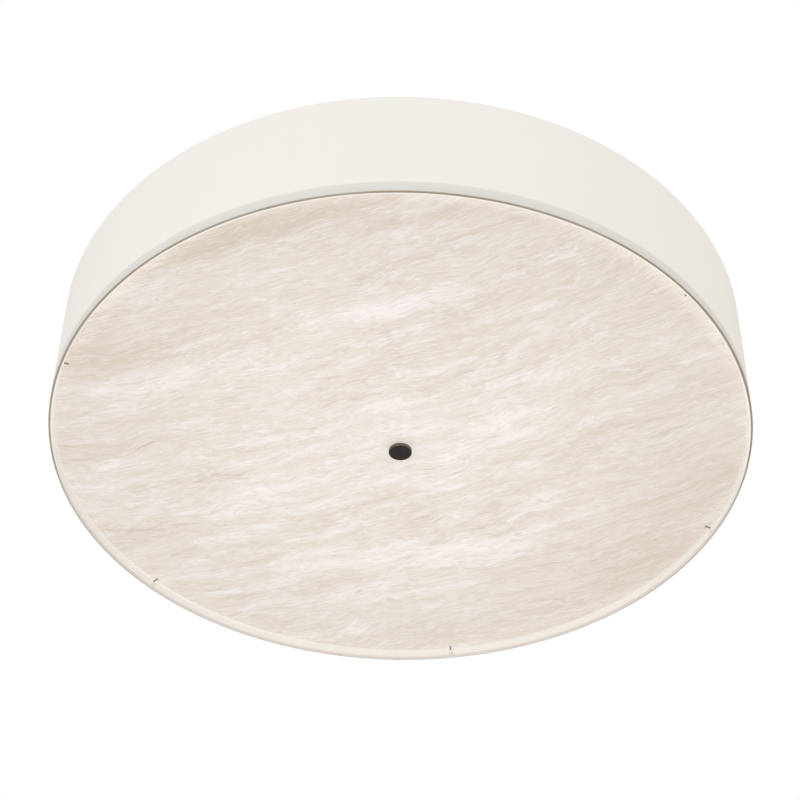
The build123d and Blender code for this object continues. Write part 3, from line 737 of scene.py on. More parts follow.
def build_metal_finish(name, base, dull, stretch, roughness=(0.24, 0.42), spots=0.004):
    """Bare or plated metal with drawn lines and dull patches."""
    w, place, close = new_finish(name)
    geometry = w.node("ShaderNodeNewGeometry").outputs
    brushed = w.group("Brushed lines", Stretched_place=w.stretched(place, stretch), Contrast=1.4)
    grain = w.group("Fine grain", Place=place, Size=spots)
    dust = w.group("Settled dust", Place=place, Facing=geometry["Normal"], Amount=0.18)["Mask"]
    tint = w.mix(w.fade(grain["Height"], 0.45, 0.75, 0.0, 0.6), base, dull)
    tint = w.mix(dust, tint, (0.45, 0.43, 0.40))
    rough = w.plus(w.fade(brushed["Lines"], 0.2, 0.8, *roughness), w.times(dust, 0.35))
    metal = w.minus(1.0, w.times(dust, 0.7))
    close(tint, rough, metal, normal=w.bump(brushed["Height"], 0.00003, 0.3))


def build_coated_finish(name, base, aged, size, roughness, bump, coat):
    """Enamel, glaze, rubber or moulded plastic with a fine skin."""
    w, place, close = new_finish(name)
    geometry = w.node("ShaderNodeNewGeometry").outputs
    grain = w.group("Fine grain", Place=place, Size=size)
    dust = w.group("Settled dust", Place=place, Facing=geometry["Normal"], Amount=0.16)["Mask"]
    worn = w.group("Worn edges", Sharpness=geometry["Pointiness"], Place=place, Amount=0.3)["Mask"]
    tint = w.mix(w.fade(grain["Mottle"], 0.35, 0.75, 0.0, 0.6), base, aged)
    tint = w.mix(worn, tint, aged)
    tint = w.mix(dust, tint, (0.46, 0.44, 0.41))
    rough = w.plus(w.fade(grain["Height"], 0.3, 0.7, roughness, roughness + 0.1), w.times(dust, 0.3))
    close(tint, rough, normal=w.bump(grain["Height"], bump, 0.4), Coat_Weight=coat, Coat_Roughness=0.08)


def build_opal_finish(name, colours, glow):
    """Opal glass that shines, a little dimmer towards its neck."""
    w, place, close = new_finish(name)
    radius = radius_of(w, place)
    neck = reach("bulb_globe_1", LAMP_ANGLES[0])[0]
    level = w.fade(radius, neck + 0.006, neck + 0.032, 0.30, 1.0)
    grain = w.group("Fine grain", Place=place, Size=0.0008)
    level = w.times(level, w.fade(grain["Mottle"], 0.3, 0.7, 0.97, 1.02))
    shine = w.dimmed(glow.opal, level)
    tint = w.mix(w.fade(grain["Mottle"], 0.3, 0.8, 0.0, 0.3), colours.opal, (0.80, 0.78, 0.73))
    close(tint, 0.34, normal=w.bump(grain["Height"], 0.00002, 0.2), glow=shine)


def build_lead_finish(name, colours):
    """Sleeved leads, coloured by where each runs round the axis."""
    w, place, close = new_finish(name)
    x, y, _ = w.parts(place)
    grain = w.group("Fine grain", Place=place, Size=0.0006)
    tint = w.mix(w.math("GREATER_THAN", w.plus(x, y), 0.0), colours.lead_live, colours.lead_return)
    near = w.times(w.math("LESS_THAN", y, -0.0008), w.math("LESS_THAN", x, 0.0))
    tint = w.mix(near, tint, colours.lead_earth)
    tint = w.mix(w.fade(grain["Mottle"], 0.4, 0.8, 0.0, 0.15), tint, (0.4, 0.39, 0.36))
    close(tint, w.fade(grain["Height"], 0.3, 0.7, 0.32, 0.44), normal=w.bump(grain["Height"], 0.00002, 0.3))


FINISHES = {
    "fabric": "Lit shade cloth", "liner": "Shade liner", "panel": "Veined panel", "opal": "Opal glass",
    "bronze": "Dark bronze", "white_metal": "White enamel", "steel": "Plated steel", "brass": "Drawn brass",
    "nickel": "Lamp screw", "porcelain": "Glazed porcelain", "rubber": "Soft rubber",
    "block": "Moulded block", "lead_skin": "Sleeved lead",
}


def build_finishes(scene):
    """All shared effects and the materials of every slot."""
    shade, panel, colours, glow = (scene.light_shade, scene.light_panel, scene.light_colours,
                                   scene.light_glow)
    for effect in (build_woven_cloth, build_fine_grain, build_brushed_lines, build_worn_edges,
                   build_settled_dust, build_lamp_light, build_stone_veins):
        effect()
    build_cloth_finish(FINISHES["fabric"], shade, colours, glow)
    build_liner_finish(FINISHES["liner"], shade, colours, glow)
    build_panel_finish(FINISHES["panel"], panel, colours, glow)
    build_opal_finish(FINISHES["opal"], colours, glow)
    build_bronze_finish(FINISHES["bronze"], colours, (90.0, 90.0, 1400.0))
    # Turned bronze carries a painted highlight on its rim.
    build_bronze_finish("Turned bronze", colours, (700.0, 700.0, 60.0), high_corner("finial").x,
                        colours.bronze_rim_highlight)
    build_bronze_finish("Tab wire", colours, (300.0, 300.0, 300.0), 0.9 * panel.radius, colours.tab)
    build_metal_finish(FINISHES["steel"], colours.zinc, (0.42, 0.43, 0.44), (300.0, 300.0, 1200.0))
    build_metal_finish(FINISHES["brass"], colours.brass, (0.46, 0.31, 0.14), (500.0, 500.0, 500.0))
    build_metal_finish(FINISHES["nickel"], colours.nickel, (0.50, 0.48, 0.44), (300.0, 300.0, 900.0),
                       (0.20, 0.34), 0.0025)
    coated = (
        ("white_metal", colours.enamel, (0.68, 0.66, 0.60), 0.0012, 0.26, 0.00004, 0.3),
        ("porcelain", colours.porcelain, (0.66, 0.62, 0.53), 0.003, 0.12, 0.00006, 0.6),
        ("rubber", colours.rubber, (0.075, 0.072, 0.068), 0.0007, 0.70, 0.00004, 0.0),
        ("block", colours.moulded, (0.52, 0.50, 0.43), 0.0009, 0.48, 0.00003, 0.0),
    )
    for slot, base, aged, size, roughness, bump, coat in coated:
        build_coated_finish(FINISHES[slot], base, aged, size, roughness, bump, coat)
    build_lead_finish(FINISHES["lead_skin"], colours)


# Meshes

def arc(centre, radius, start, end, steps=8):
    """Points on a circle between two angles, both ends included."""
    return [(centre[0] + radius * cos(start + (end - start) * step / steps),
             centre[1] + radius * sin(start + (end - start) * step / steps)) for step in range(steps + 1)]


def soften(corners, rounding, steps=4, closed=True):
    """Outline with its corners rounded; each rounding is kept under half its sides."""
    rounded = []
    count = len(corners)
    for number, corner in enumerate(corners):
        here = Vector(corner)
        before, after = Vector(corners[number - 1]) - here, Vector(corners[(number + 1) % count]) - here
        if not closed and number in (0, count - 1):
            rounded.append(corner)
            continue
        cut = min(rounding, 0.45 * before.length, 0.45 * after.length)
        first, last = here + before.normalized() * cut, here + after.normalized() * cut
        for step in range(steps + 1):
            t = step / steps
            point = first * (1 - t) ** 2 + here * 2 * t * (1 - t) + last * t * t
            rounded.append(tuple(point))
    return rounded


def outward(angle, height=0.0, distance=0.0):
    """Matrix that turns local Z to point away from the axis at this angle."""
    radial = ray(angle)
    tangent = Vector((-sin(angle), cos(angle), 0))
    spot = radial * distance + Vector((0, 0, height))
    return Matrix.Translation(spot) @ Matrix((tangent, Vector((0, 0, 1)), radial)).transposed().to_4x4()


class Form:
    """Collects the points and faces of one piece."""

    def __init__(self):
        self.points = []
        self.faces = []

    def add(self, points, faces, place=Matrix()):
        """Adds points and faces, moved by a matrix."""
        first = len(self.points)
        self.points += [place @ Vector(point) for point in points]
        self.faces += [tuple(first + index for index in face) for face in faces]
        return self

    def spin(self, outline_at, place=Matrix(), steps=64, closed=True):
        """Turns an outline of radius and height; outline_at gives it for an angle."""
        outlines = [outline_at(tau * step / steps) for step in range(steps)]
        rows = len(outlines[0])
        points = [(r * cos(tau * step / steps), r * sin(tau * step / steps), z)
                  for step, outline in enumerate(outlines) for r, z in outline]
        faces = []
        for step in range(steps):
            here, there = step * rows, (step + 1) % steps * rows
            for row in range(rows if closed else rows - 1):
                above = (row + 1) % rows
                faces.append((here + row, there + row, there + above, here + above))
        return self.add(points, faces, place)

    def turned(self, outline, place=Matrix(), steps=64, closed=True):
        """Turns one fixed outline."""
        return self.spin(lambda angle: outline, place, steps, closed)

    def nut(self, flats, bore, low, high, place=Matrix(), steps=48):
        """Hexagon nut with its corners cut by a cone at both ends."""
        half, crown, lead = flats / 2, flats / 2 * 0.95, 0.0004

        def outline_at(angle):
            side = half / cos(angle % (pi / 3) - pi / 6)
            drop = (side - crown) * 0.5
            return [(bore + lead, low), (crown, low), (side, low + drop), (side, high - drop), (crown, high),
                    (bore + lead, high), (bore, high - lead), (bore, low + lead)]

        return self.spin(outline_at, place, steps)

    def wire(self, path, radius, sides=14, round_ends=True):
        """Round wire along points, with rounded ends."""
        path = [Vector(point) for point in path]
        along = [(path[min(i + 1, len(path) - 1)] - path[max(i - 1, 0)]).normalized()
                 for i in range(len(path))]
        across = along[0].orthogonal().normalized()
        rings = []
        for i, spot in enumerate(path):
            across = (across - along[i] * across.dot(along[i])).normalized()
            rings.append((spot, along[i], across, radius))
        if round_ends:
            ends = [pi / 2 * step / 4 for step in (3, 2, 1)]
            head = [(path[0] - along[0] * radius * sin(a), along[0], rings[0][2], radius * cos(a))
                    for a in ends]
            tail = [(path[-1] + along[-1] * radius * sin(a), along[-1], rings[-1][2], radius * cos(a))
                    for a in reversed(ends)]
            rings = head + rings + tail
        points = []
        for spot, forward, side, size in rings:
            other = forward.cross(side)
            points += [spot + (side * cos(tau * k / sides) + other * sin(tau * k / sides)) * size
                       for k in range(sides)]
        faces = [(i * sides + k, i * sides + (k + 1) % sides, (i + 1) * sides + (k + 1) % sides,
                  (i + 1) * sides + k) for i in range(len(rings) - 1) for k in range(sides)]
        faces += [tuple(range(sides)), tuple(range((len(rings) - 1) * sides, len(rings) * sides))]
        return self.add(points, faces)

    def helix(self, profile, low, high, pitch, steps=72, rows=10, place=Matrix()):
        """Screw thread whose ends run out flat; profile gives the radius for a share of one turn's rise."""
        count = ceil((high - low) / pitch * rows) + 3 * rows
        points = []
        for row in range(count):
            for step in range(steps):
                height = low - pitch + pitch * (row / rows + step / steps)
                inside = min(max(height, low), high)
                lead = min(1.0, (inside - low) / (0.5 * pitch), (high - inside) / (0.5 * pitch))
                crest = profile(0.0)
                radius = crest + (profile(row % rows / rows) - crest) * max(0.0, lead)
                points.append((radius * cos(tau * step / steps), radius * sin(tau * step / steps), inside))
        faces = []
        for row in range(count - 1):
            for step in range(steps):
                here, there = row * steps + step, row * steps + step + 1
                if step == steps - 1:
                    there = (row + rows) * steps
                if there + steps < count * steps:
                    faces.append((here, there, there + steps, here + steps))
        return self.add(points, faces, place)

    def piece(self, name, slot, body, stands_for=(), finish=None, sharp=35):
        """Makes the object, gives it its finish and hands it to its body."""
        bm = bmesh.new()
        spots = [bm.verts.new(point) for point in self.points]
        for face in self.faces:
            if len(set(face)) > 2:
                bm.faces.new([spots[index] for index in face])
        bmesh.ops.remove_doubles(bm, verts=bm.verts, dist=2e-6)
        bmesh.ops.dissolve_degenerate(bm, edges=bm.edges, dist=1e-6)
        loose = [vertex for vertex in bm.verts if not vertex.link_faces]
        bmesh.ops.delete(bm, geom=loose, context="VERTS")
        bmesh.ops.recalc_face_normals(bm, faces=bm.faces)
        return settle(bm, name, slot, body, stands_for, finish, sharp)


def settle(bm, name, slot, body, stands_for=(), finish=None, sharp=35):
    """Turns a bmesh into a piece that rides on a body."""
    mesh = bpy.data.meshes.new(name)
    bm.to_mesh(mesh)
    bm.free()
    mesh.shade_smooth()
    mesh.set_sharp_from_angle(angle=radians(sharp))
    mesh.materials.append(bpy.data.materials[finish or FINISHES[slot]])
    piece = bpy.data.objects.new(name, mesh)
    bpy.context.scene.collection.objects.link(piece)
    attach(piece, body)
    if stands_for:
        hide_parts(*stands_for)
    return piece


def eased_copy(node, name, slot, body, width, finish=None):
    """Copy of a plain CAD piece with its sharp edges rounded."""
    bm = bmesh.new()
    bm.from_mesh(frame["nodes"][node].data)
    bmesh.ops.remove_doubles(bm, verts=bm.verts, dist=1e-6)
    bmesh.ops.dissolve_limit(bm, angle_limit=radians(1), verts=bm.verts, edges=bm.edges)
    sharp = [edge for edge in bm.edges if len(edge.link_faces) == 2 and edge.calc_face_angle() > radians(40)]
    bmesh.ops.bevel(bm, geom=sharp, offset=width, segments=2, profile=0.5, affect="EDGES", clamp_overlap=True)
    bmesh.ops.recalc_face_normals(bm, faces=bm.faces)
    return settle(bm, name, slot, body, (node,), finish)


def threaded(start, end, crest, depth, pitch):
    """Outline points of a fine thread between two heights."""
    count = max(1, round(abs(end - start) / pitch))
    rise = (end - start) / count
    points = [(crest, start)]
    for number in range(count):
        base = start + number * rise
        points += [(crest - depth, base + 0.4 * rise), (crest - depth, base + 0.6 * rise),
                   (crest, base + rise)]
    return points


def tube_outline(low, high, radius, bore, threads, sizes):
    """Outline of a tube with eased ends and threads between pairs of heights."""
    edge = sizes.edge
    side = [(radius - edge, low), (radius, low + edge)]
    for start, end in threads:
        side += threaded(start, end, radius, sizes.thread_depth, sizes.thread_pitch)
    side += [(radius, high - edge), (radius - edge, high)]
    return side + [(bore + edge, high), (bore, high - edge), (bore, low + edge), (bore + edge, low)]


def threaded_tube(node, name, slot, bore, sizes, threads=None, steps=48):
    """Upright tube in the box of a node, threaded all along unless stretches are given."""
    low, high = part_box(node)
    threads = threads or [(low.z + sizes.lead_in, high.z - sizes.lead_in)]
    outline = tube_outline(low.z, high.z, high.x, bore, threads, sizes)
    Form().turned(outline, steps=steps).piece(name, slot, "fixture", (node,))


def bushing(node, bore, rounding, name, slot, body, steps=72, rounding_steps=4):
    """Ring with rounded corners in the box of a node."""
    low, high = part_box(node)
    corners = [(bore, low.z), (high.x, low.z), (high.x, high.z), (bore, high.z)]
    Form().turned(soften(corners, rounding, rounding_steps), steps=steps).piece(name, slot, body, (node,))


def carve(piece, cutter):
    """Cuts a closed shape out of a piece."""
    mesh = bpy.data.meshes.new("cutter")
    mesh.from_pydata([tuple(point) for point in cutter.points], [], cutter.faces)
    tool = bpy.data.objects.new("cutter", mesh)
    bpy.context.scene.collection.objects.link(tool)
    modifier = piece.modifiers.new("Cut", "BOOLEAN")
    modifier.operation = "DIFFERENCE"
    modifier.solver = "EXACT"
    modifier.object = tool
    bpy.context.view_layer.update()
    cut = bpy.data.meshes.new_from_object(piece.evaluated_get(bpy.context.evaluated_depsgraph_get()))
    piece.modifiers.clear()
    piece.data = cut
    bpy.data.objects.remove(tool)
    cut.set_sharp_from_angle(angle=radians(35))


def block_form(low, high):
    """Closed box between two corners."""
    spots = [(x, y, z) for x in (low[0], high[0]) for y in (low[1], high[1]) for z in (low[2], high[2])]
    return Form().add(spots, [(0, 1, 3, 2), (4, 6, 7, 5), (0, 4, 5, 1), (2, 3, 7, 6), (0, 2, 6, 4),
                              (1, 5, 7, 3)])


def screw_slot(x, head, half, low, depth):
    """Cutter for the slot across a screw's head."""
    return block_form((x - 2 * head, -half, low - depth), (x + 2 * head, half, low + depth))


def cubic(guides, t):
    """Point of a curve that four guide points give."""
    a, b, c, d = guides
    return tuple(a * (1 - t) ** 3 + b * 3 * t * (1 - t) ** 2 + c * 3 * t * t * (1 - t) + d * t ** 3)


# Shade

FOLD_ROWS = (1.0, 0.92, 0.84, 0.765, 0.68, 0.58, 0.47, 0.36, 0.27)
TAB_EXIT_ROW = 3  # the tabs' wires come out of the fold above this row
ARM_EXIT_ROW = len(FOLD_ROWS) + 10  # the arms come out of the top hem at this row
WALL_ROWS = 22
LAP_EDGES = (-0.5, -0.46, 0.3, 0.5)  # shares of the lap's width where its step is drawn
LAP_STEP_SPAN = (-0.48, 0.31)  # the cloth stands proud between these shares
POCKET_EDGES = (0.42, 0.55, 0.7, 0.85, 1.0)  # shares of a pocket's half width
CLOSEST_ANGLES = 0.0003  # angles that lie closer than this are taken as one
TAB_COUNT = 6
TAB_ANGLES = [radians(20) + tau * k / TAB_COUNT for k in range(TAB_COUNT)]
ARM_ANGLES = [radians(45 + 90 * k) for k in range(4)]


def hem_line(ring, edge, inward, sizes):
    """Middle line of the cloth from its fold's end, round a ring's wire and out to the wall."""
    wire, ring_radius, _ = wire_of(ring)
    half = sizes.cloth / 2
    roll = wire + sizes.gap + half
    centre = edge + inward * (roll + half)
    fold = fold_radius(sizes)
    meeting = acos((fold - ring_radius) / roll)
    wall = sizes.radius - half
    line = [(fold, edge + inward * (sizes.fold * t)) for t in FOLD_ROWS]
    count = 16
    line += [(ring_radius + roll * cos(meeting + (1.5 * pi - meeting) * k / count), centre
              + inward * roll * sin(meeting + (1.5 * pi - meeting) * k / count)) for k in range(count + 1)]
    turn_in = sizes.corner
    line += [(wall - turn_in + turn_in * sin(pi / 2 * k / 6),
              edge + inward * (half + turn_in - turn_in * cos(pi / 2 * k / 6))) for k in range(7)]
    return line


def liner_inside(sizes):
    """Inside radius of the liner, against the rings."""
    return high_corner("bottom_ring").x + sizes.gap


def fold_radius(sizes):
    """Radius of the turned-in fold's middle line, against the liner."""
    return liner_inside(sizes) - sizes.gap - sizes.cloth / 2


def offset_pair(line, thickness):
    """Both sides of a band along a line."""
    one, other = [], []
    for i, spot in enumerate(line):
        before, after = line[max(i - 1, 0)], line[min(i + 1, len(line) - 1)]
        dx, dy = after[0] - before[0], after[1] - before[1]
        size = hypot(dx, dy)
        nx, ny = dy / size * thickness / 2, -dx / size * thickness / 2
        one.append((spot[0] + nx, spot[1] + ny))
        other.append((spot[0] - nx, spot[1] - ny))
    return one, other


def smooth(start, end, value):
    """Soft step from 0 to 1 while the value goes from start to end."""
    t = min(1.0, max(0.0, (value - start) / (end - start)))
    return t * t * (3 - 2 * t)


def slit_pairs(angles, width, radius):
    """Both edges of each slit, as angles."""
    half = width / radius / 2
    return [((angle - half) % tau, (angle + half) % tau) for angle in angles]


def in_slit(pairs, cell):
    """Whether the middle between two angles lies in one of the slits."""
    first, last = cell
    middle = (first + (last - first) % tau / 2) % tau
    return any((middle - a) % tau < (b - a) % tau for a, b in pairs)


def cloth_angles(sizes, slits):
    """Angles of the cloth's columns: even ones and the edges of slits, lap and pockets."""
    pocket, lap = sizes.pocket / sizes.radius, sizes.lap / sizes.radius
    angles = [tau * k / sizes.steps for k in range(sizes.steps)]
    angles += [edge for pair in slits for edge in pair]
    angles += [sizes.lap_angle + lap * t for t in LAP_EDGES]
    angles += [tab + side * pocket * t for tab in TAB_ANGLES for side in (-1, 1) for t in POCKET_EDGES]
    angles = sorted({round(angle % tau, 7) for angle in angles})
    return [a for i, a in enumerate(angles) if i == 0 or a - angles[i - 1] > CLOSEST_ANGLES]


def bulged(line, angle, fold_rows, ring_height, leg_face, sizes):
    """The cloth's line, pushed in over a tab's leg."""
    away = min(abs((angle - tab + pi) % tau - pi) for tab in TAB_ANGLES) * sizes.radius
    push = 1 - smooth(sizes.tab_slit / 2, sizes.pocket, away)
    if push == 0:
        return line
    bent = list(line)
    for row, (r, z) in enumerate(line[:fold_rows]):
        if r > leg_face and z > ring_height:
            loose = smooth(sizes.rim + sizes.fold * 0.78, sizes.rim + sizes.fold, z)
            bent[row] = (r - (r - leg_face) * push * (1 - 0.6 * loose), z)
    return bent


def swelled(point, angle, sizes):
    """Point of the cloth with its swell and the lap's step."""
    r, z = point
    if r < sizes.radius - 2.5 * sizes.cloth:
        return point
    share_up = (z - sizes.rim) / (sizes.top - sizes.rim)
    belly = max(0.0, sin(pi * share_up)) * (0.6 + 0.25 * sin(5 * angle + 1.0) + 0.15 * sin(11 * angle))
    across = ((angle - sizes.lap_angle + pi) % tau - pi) * sizes.radius / sizes.lap
    on_lap = sizes.lap_step if LAP_STEP_SPAN[0] < across < LAP_STEP_SPAN[1] else 0.0
    return r + sizes.swell * belly + on_lap, z


def cloth_faces(states, rows, bottom_cut, top_cut):
    """Faces of the cloth's columns, open in the tabs' and arms' slits and closed at their edges."""
    faces = []
    for k, (tab, arm) in enumerate(states):
        here, there = k * 2 * rows, (k + 1) % len(states) * 2 * rows
        first = bottom_cut if tab else 0
        last = top_cut if arm else rows - 1
        for row in range(first, last):
            faces.append((here + row, there + row, there + row + 1, here + row + 1))
            inner, beyond = here + rows + row, there + rows + row
            faces.append((inner, inner + 1, beyond + 1, beyond))
        for row in (first, last):
            faces.append((here + row, here + rows + row, there + rows + row, there + row))
        for slit, span in ((0, range(bottom_cut)), (1, range(top_cut, rows - 1))):
            if states[k - 1][slit] != states[k][slit]:
                faces += [(here + row, here + row + 1, here + rows + row + 1, here + rows + row)
                          for row in span]
    return faces


def drum_cloth(sizes, tab_wire):
    """Cloth drum: wall, rolled hems, pockets over the tabs' legs, slits and a glued lap at the back."""
    bottom = hem_line("bottom_ring", sizes.rim, 1, sizes)
    top = hem_line("top_ring", sizes.top, -1, sizes)
    wall_radius = sizes.radius - sizes.cloth / 2
    start, end = bottom[-1][1], top[-1][1]
    wall = [(wall_radius, start + (end - start) * k / WALL_ROWS) for k in range(1, WALL_ROWS)]
    line = bottom + wall + top[::-1]
    ring_height = wire_of("bottom_ring")[2]
    leg_face = fold_radius(sizes) - 2 * tab_wire - sizes.gap
    tabs = slit_pairs(TAB_ANGLES, sizes.tab_slit, sizes.radius)
    arms = slit_pairs(ARM_ANGLES, sizes.arm_slit, sizes.radius)
    angles = cloth_angles(sizes, tabs + arms)
    points = []
    for angle in angles:
        section = bulged(line, angle, len(bottom), ring_height, leg_face, sizes)
        for side in offset_pair(section, sizes.cloth):
            for r, z in (swelled(point, angle, sizes) for point in side):
                points.append((r * cos(angle), r * sin(angle), z))
    cells = zip(angles, angles[1:] + angles[:1])
    states = [(in_slit(tabs, cell), in_slit(arms, cell)) for cell in cells]
    top_cut = len(line) - 1 - ARM_EXIT_ROW
    return Form().add(points, cloth_faces(states, len(line), TAB_EXIT_ROW, top_cut))


def build_shade(scene):
    """Cloth drum over the liner and its rings."""
    sizes = scene.light_shade
    cloth = drum_cloth(sizes, scene.light_panel.tab_wire).piece(
        "drum_cloth", "fabric", "fixture", ("shade_fabric", "top_hem", "bottom_hem"), sharp=50)


def build_frame_rings(scene):
    """Liner sheet and the two wire rings inside the hems."""
    sizes = scene.light_shade
    bushing("shade_liner", liner_inside(sizes), 0.0002, "drum_liner", "liner", "fixture", sizes.steps, 2)
    for node in ("bottom_ring", "top_ring"):
        wire, radius, height = wire_of(node)
        section = arc((radius, height), wire, 0, tau * 15 / 16, 15)
        Form().turned(section, steps=sizes.steps).piece(f"{node}_wire", "steel", "fixture", (node,))


# Panel, tabs and finial

def build_tabs(scene):
    """Six bent wires that reach in under the panel's edge."""
    sizes, shade = scene.light_panel, scene.light_shade
    low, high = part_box("panel_tabs")
    foot, toe_height = low.z, high.z - sizes.tab_wire
    leg = fold_radius(shade) + shade.cloth / 2 - sizes.tab_wire
    toe = reach("panel_tabs", TAB_ANGLES[0])[1] - 2 * sizes.tab_wire - sizes.tab_reach
    form = Form()
    for angle in TAB_ANGLES:
        corners = [(leg, foot), (leg, toe_height), (toe + sizes.tab_wire, toe_height)]
        path = soften(corners, sizes.tab_bend, 6, closed=False)
        form.wire([ray(angle) * r + Vector((0, 0, z)) for r, z in path], sizes.tab_wire)
    form.piece("panel_tab_wires", "bronze", "fixture", ("panel_tabs",), finish="Tab wire")


def build_panel(scene):
    """Round veined panel with a rounded edge."""
    sizes = scene.light_panel
    corners = [(sizes.hole, sizes.face), (sizes.radius, sizes.face), (sizes.radius, sizes.back),
               (sizes.hole, sizes.back)]
    outline = soften(corners, sizes.edge, 4)
    Form().turned(outline, steps=360).piece("veined_panel", "panel", "panel", ("diffuser_panel",), sharp=30)


def build_finial(scene):
    """Turned finial with a shallow face, and the washer over it."""
    sizes, fittings = scene.light_panel, scene.light_fittings
    low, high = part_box("finial")
    radius, neck, bore = high.x, sizes.finial_neck, fittings.tube + fittings.slide_air
    neck_low = high.z - sizes.finial_step
    bore_top = low.z + sizes.finial_face
    edge, burr = sizes.finial_edge, fittings.edge
    rim = [(radius - edge, low.z)] + arc((radius - edge, low.z + edge), edge, -pi / 2, 0, 6)
    shoulder = [(radius, neck_low - 0.0006), (radius - 0.0004, neck_low - 0.0001),
                (radius - 0.0009, neck_low), (neck + 0.0004, neck_low), (neck, neck_low + 0.0004),
                (neck, high.z - burr), (neck - burr, high.z), (bore + burr, high.z), (bore, high.z - burr),
                (bore, bore_top), (0.0, bore_top)]
    dish = [(0.0, low.z + 0.0001), (radius * 0.35, low.z + 0.00008), (radius * 0.7, low.z + 0.00003)]
    Form().turned(dish + rim + shoulder, steps=96).piece(
        "finial_button", "bronze", "finial", ("finial",), finish="Turned bronze", sharp=50)
    bushing("finial_washer", fittings.tube + fittings.hole_air, 0.0004, "finial_cushion", "rubber", "washer")


# Spider, stem and ceiling mount

def build_spider(scene):
    """Hub and four rods that carry the shade, with their weld beads."""
    sizes = scene.light_fittings
    bore = high_corner("stem").x + sizes.thread_air
    bushing("spider_hub", bore, 0.0008, "spider_boss", "bronze", "fixture", 96)
    hub, height = high_corner("spider_hub").x, wire_of("top_ring")[2]
    rod = half_height("spider_arms")
    form = Form()
    for angle in ARM_ANGLES:
        start, end = reach("spider_arms", angle)
        form.wire([ray(angle) * r + Vector((0, 0, height)) for r in (start, (start + end) / 2, end)], rod, 20,
                  round_ends=False)
        bead = [(0.0, 0.0)] + arc((rod * 0.75, 0.0), sizes.weld, 0, pi / 2, 5) + [(0.0, sizes.weld)]
        form.turned(bead, outward(angle, height, hub), 24)
    form.piece("spider_rods", "bronze", "fixture", ("spider_arms",))


def build_stem(scene):
    """Hanging tube with its nuts and the threaded nipple at its top."""
    sizes = scene.light_fittings
    low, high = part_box("stem")
    hub_low, hub_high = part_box("spider_hub")
    threads = [(low.z + sizes.lead_in, low.z + 0.020), (hub_low.z - 0.010, hub_high.z + 0.010)]
    threaded_tube("stem", "hanging_tube", "bronze", sizes.stem_bore, sizes, threads, 56)
    can_top = high_corner("cluster_can").z
    form = Form()
    for seat in (hub_high.z, hub_low.z - sizes.nut, can_top, can_top - sizes.can_wall - sizes.nut):
        form.nut(sizes.stem_nut_flats, high.x + sizes.thread_air, seat, seat + sizes.nut)
    form.piece("hanging_tube_nuts", "bronze", "fixture", ("stem_nuts",))
    threaded_tube("stem_nipple", "ceiling_nipple", "steel", sizes.bore, sizes)
    low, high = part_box("nipple_nut")
    Form().nut(sizes.nut_flats, sizes.tube + sizes.thread_air, low.z, high.z).piece(
        "ceiling_nut", "steel", "fixture", ("nipple_nut",))


def build_canopy(scene):
    """Spun canopy with its collar and knurled thumb screw."""
    sizes = scene.light_fittings
    low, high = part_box("canopy")
    radius, wall, shoulder, edge = high.x, sizes.canopy_wall, sizes.canopy_shoulder, sizes.edge
    hole = high_corner("stem").x + sizes.hole_air
    centre = (radius - shoulder, low.z + shoulder)
    outside = arc(centre, shoulder, 0, -pi / 2, 14)
    inside = arc(centre, shoulder - wall, -pi / 2, 0, 14)
    lip = [(radius - wall, high.z - edge), (radius - wall + edge, high.z), (radius - edge, high.z),
           (radius, high.z - edge), (radius, high.z - 0.006)]
    mouth = [(hole + 0.0006, low.z), (hole, low.z + 0.0005), (hole, low.z + wall)]
    Form().turned(lip + outside + mouth + inside, steps=144).piece(
        "spun_canopy", "bronze", "canopy", ("canopy",))
    hole = high_corner("stem").x + sizes.slide_air
    bushing("canopy_collar", hole, 0.0012, "canopy_grip", "bronze", "canopy", rounding_steps=5)
    low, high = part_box("collar_screw")
    middle = (low.z + high.z) / 2
    head, tip = -low.y, -high.y
    shank, grip, head_length = sizes.shank, high.x, 0.002

    def screw(angle):
        """Outline with a knurled edge on the head."""
        knurl = grip * (1.0 if round(angle / tau * 72) % 3 else 0.93)
        return [(0.0, tip), (shank * 0.7, tip), (shank, tip + 0.0008), (shank, head - head_length),
                (grip - edge, head - head_length), (knurl, head - head_length + edge), (knurl, head - edge),
                (grip - 0.0005, head), (grip * 0.5, head), (0.0, head)]

    Form().spin(screw, outward(-pi / 2, middle), 72).piece(
        "canopy_thumb_screw", "bronze", "canopy", ("collar_screw",))


def build_ceiling_strap(scene):
    """Slotted strap and its ground screw."""
    sizes = scene.light_fittings
    eased_copy("mounting_strap", "ceiling_strap", "steel", "fixture", sizes.edge)
    low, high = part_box("ground_screw")
    middle = (low.x + high.x) / 2
    head, shank = (high.x - low.x) / 2, sizes.shank
    seat = low_corner("mounting_strap").z
    outline = [(0.0, high.z), (shank * 0.8, high.z), (shank, high.z - sizes.edge), (shank, seat),
               (head - 0.0002, seat), (head, seat - sizes.edge), (head, low.z + 0.0009),
               (head * 0.86, low.z + 0.0003), (head * 0.5, low.z), (0.0, low.z)]
    screw = Form().turned(outline, Matrix.Translation((middle, 0, 0)), 40).piece(
        "ground_screw_turned", "brass", "fixture", ("ground_screw",))
    carve(screw, screw_slot(middle, head, 0.0005, low.z, 0.0012))


# Lamp cluster

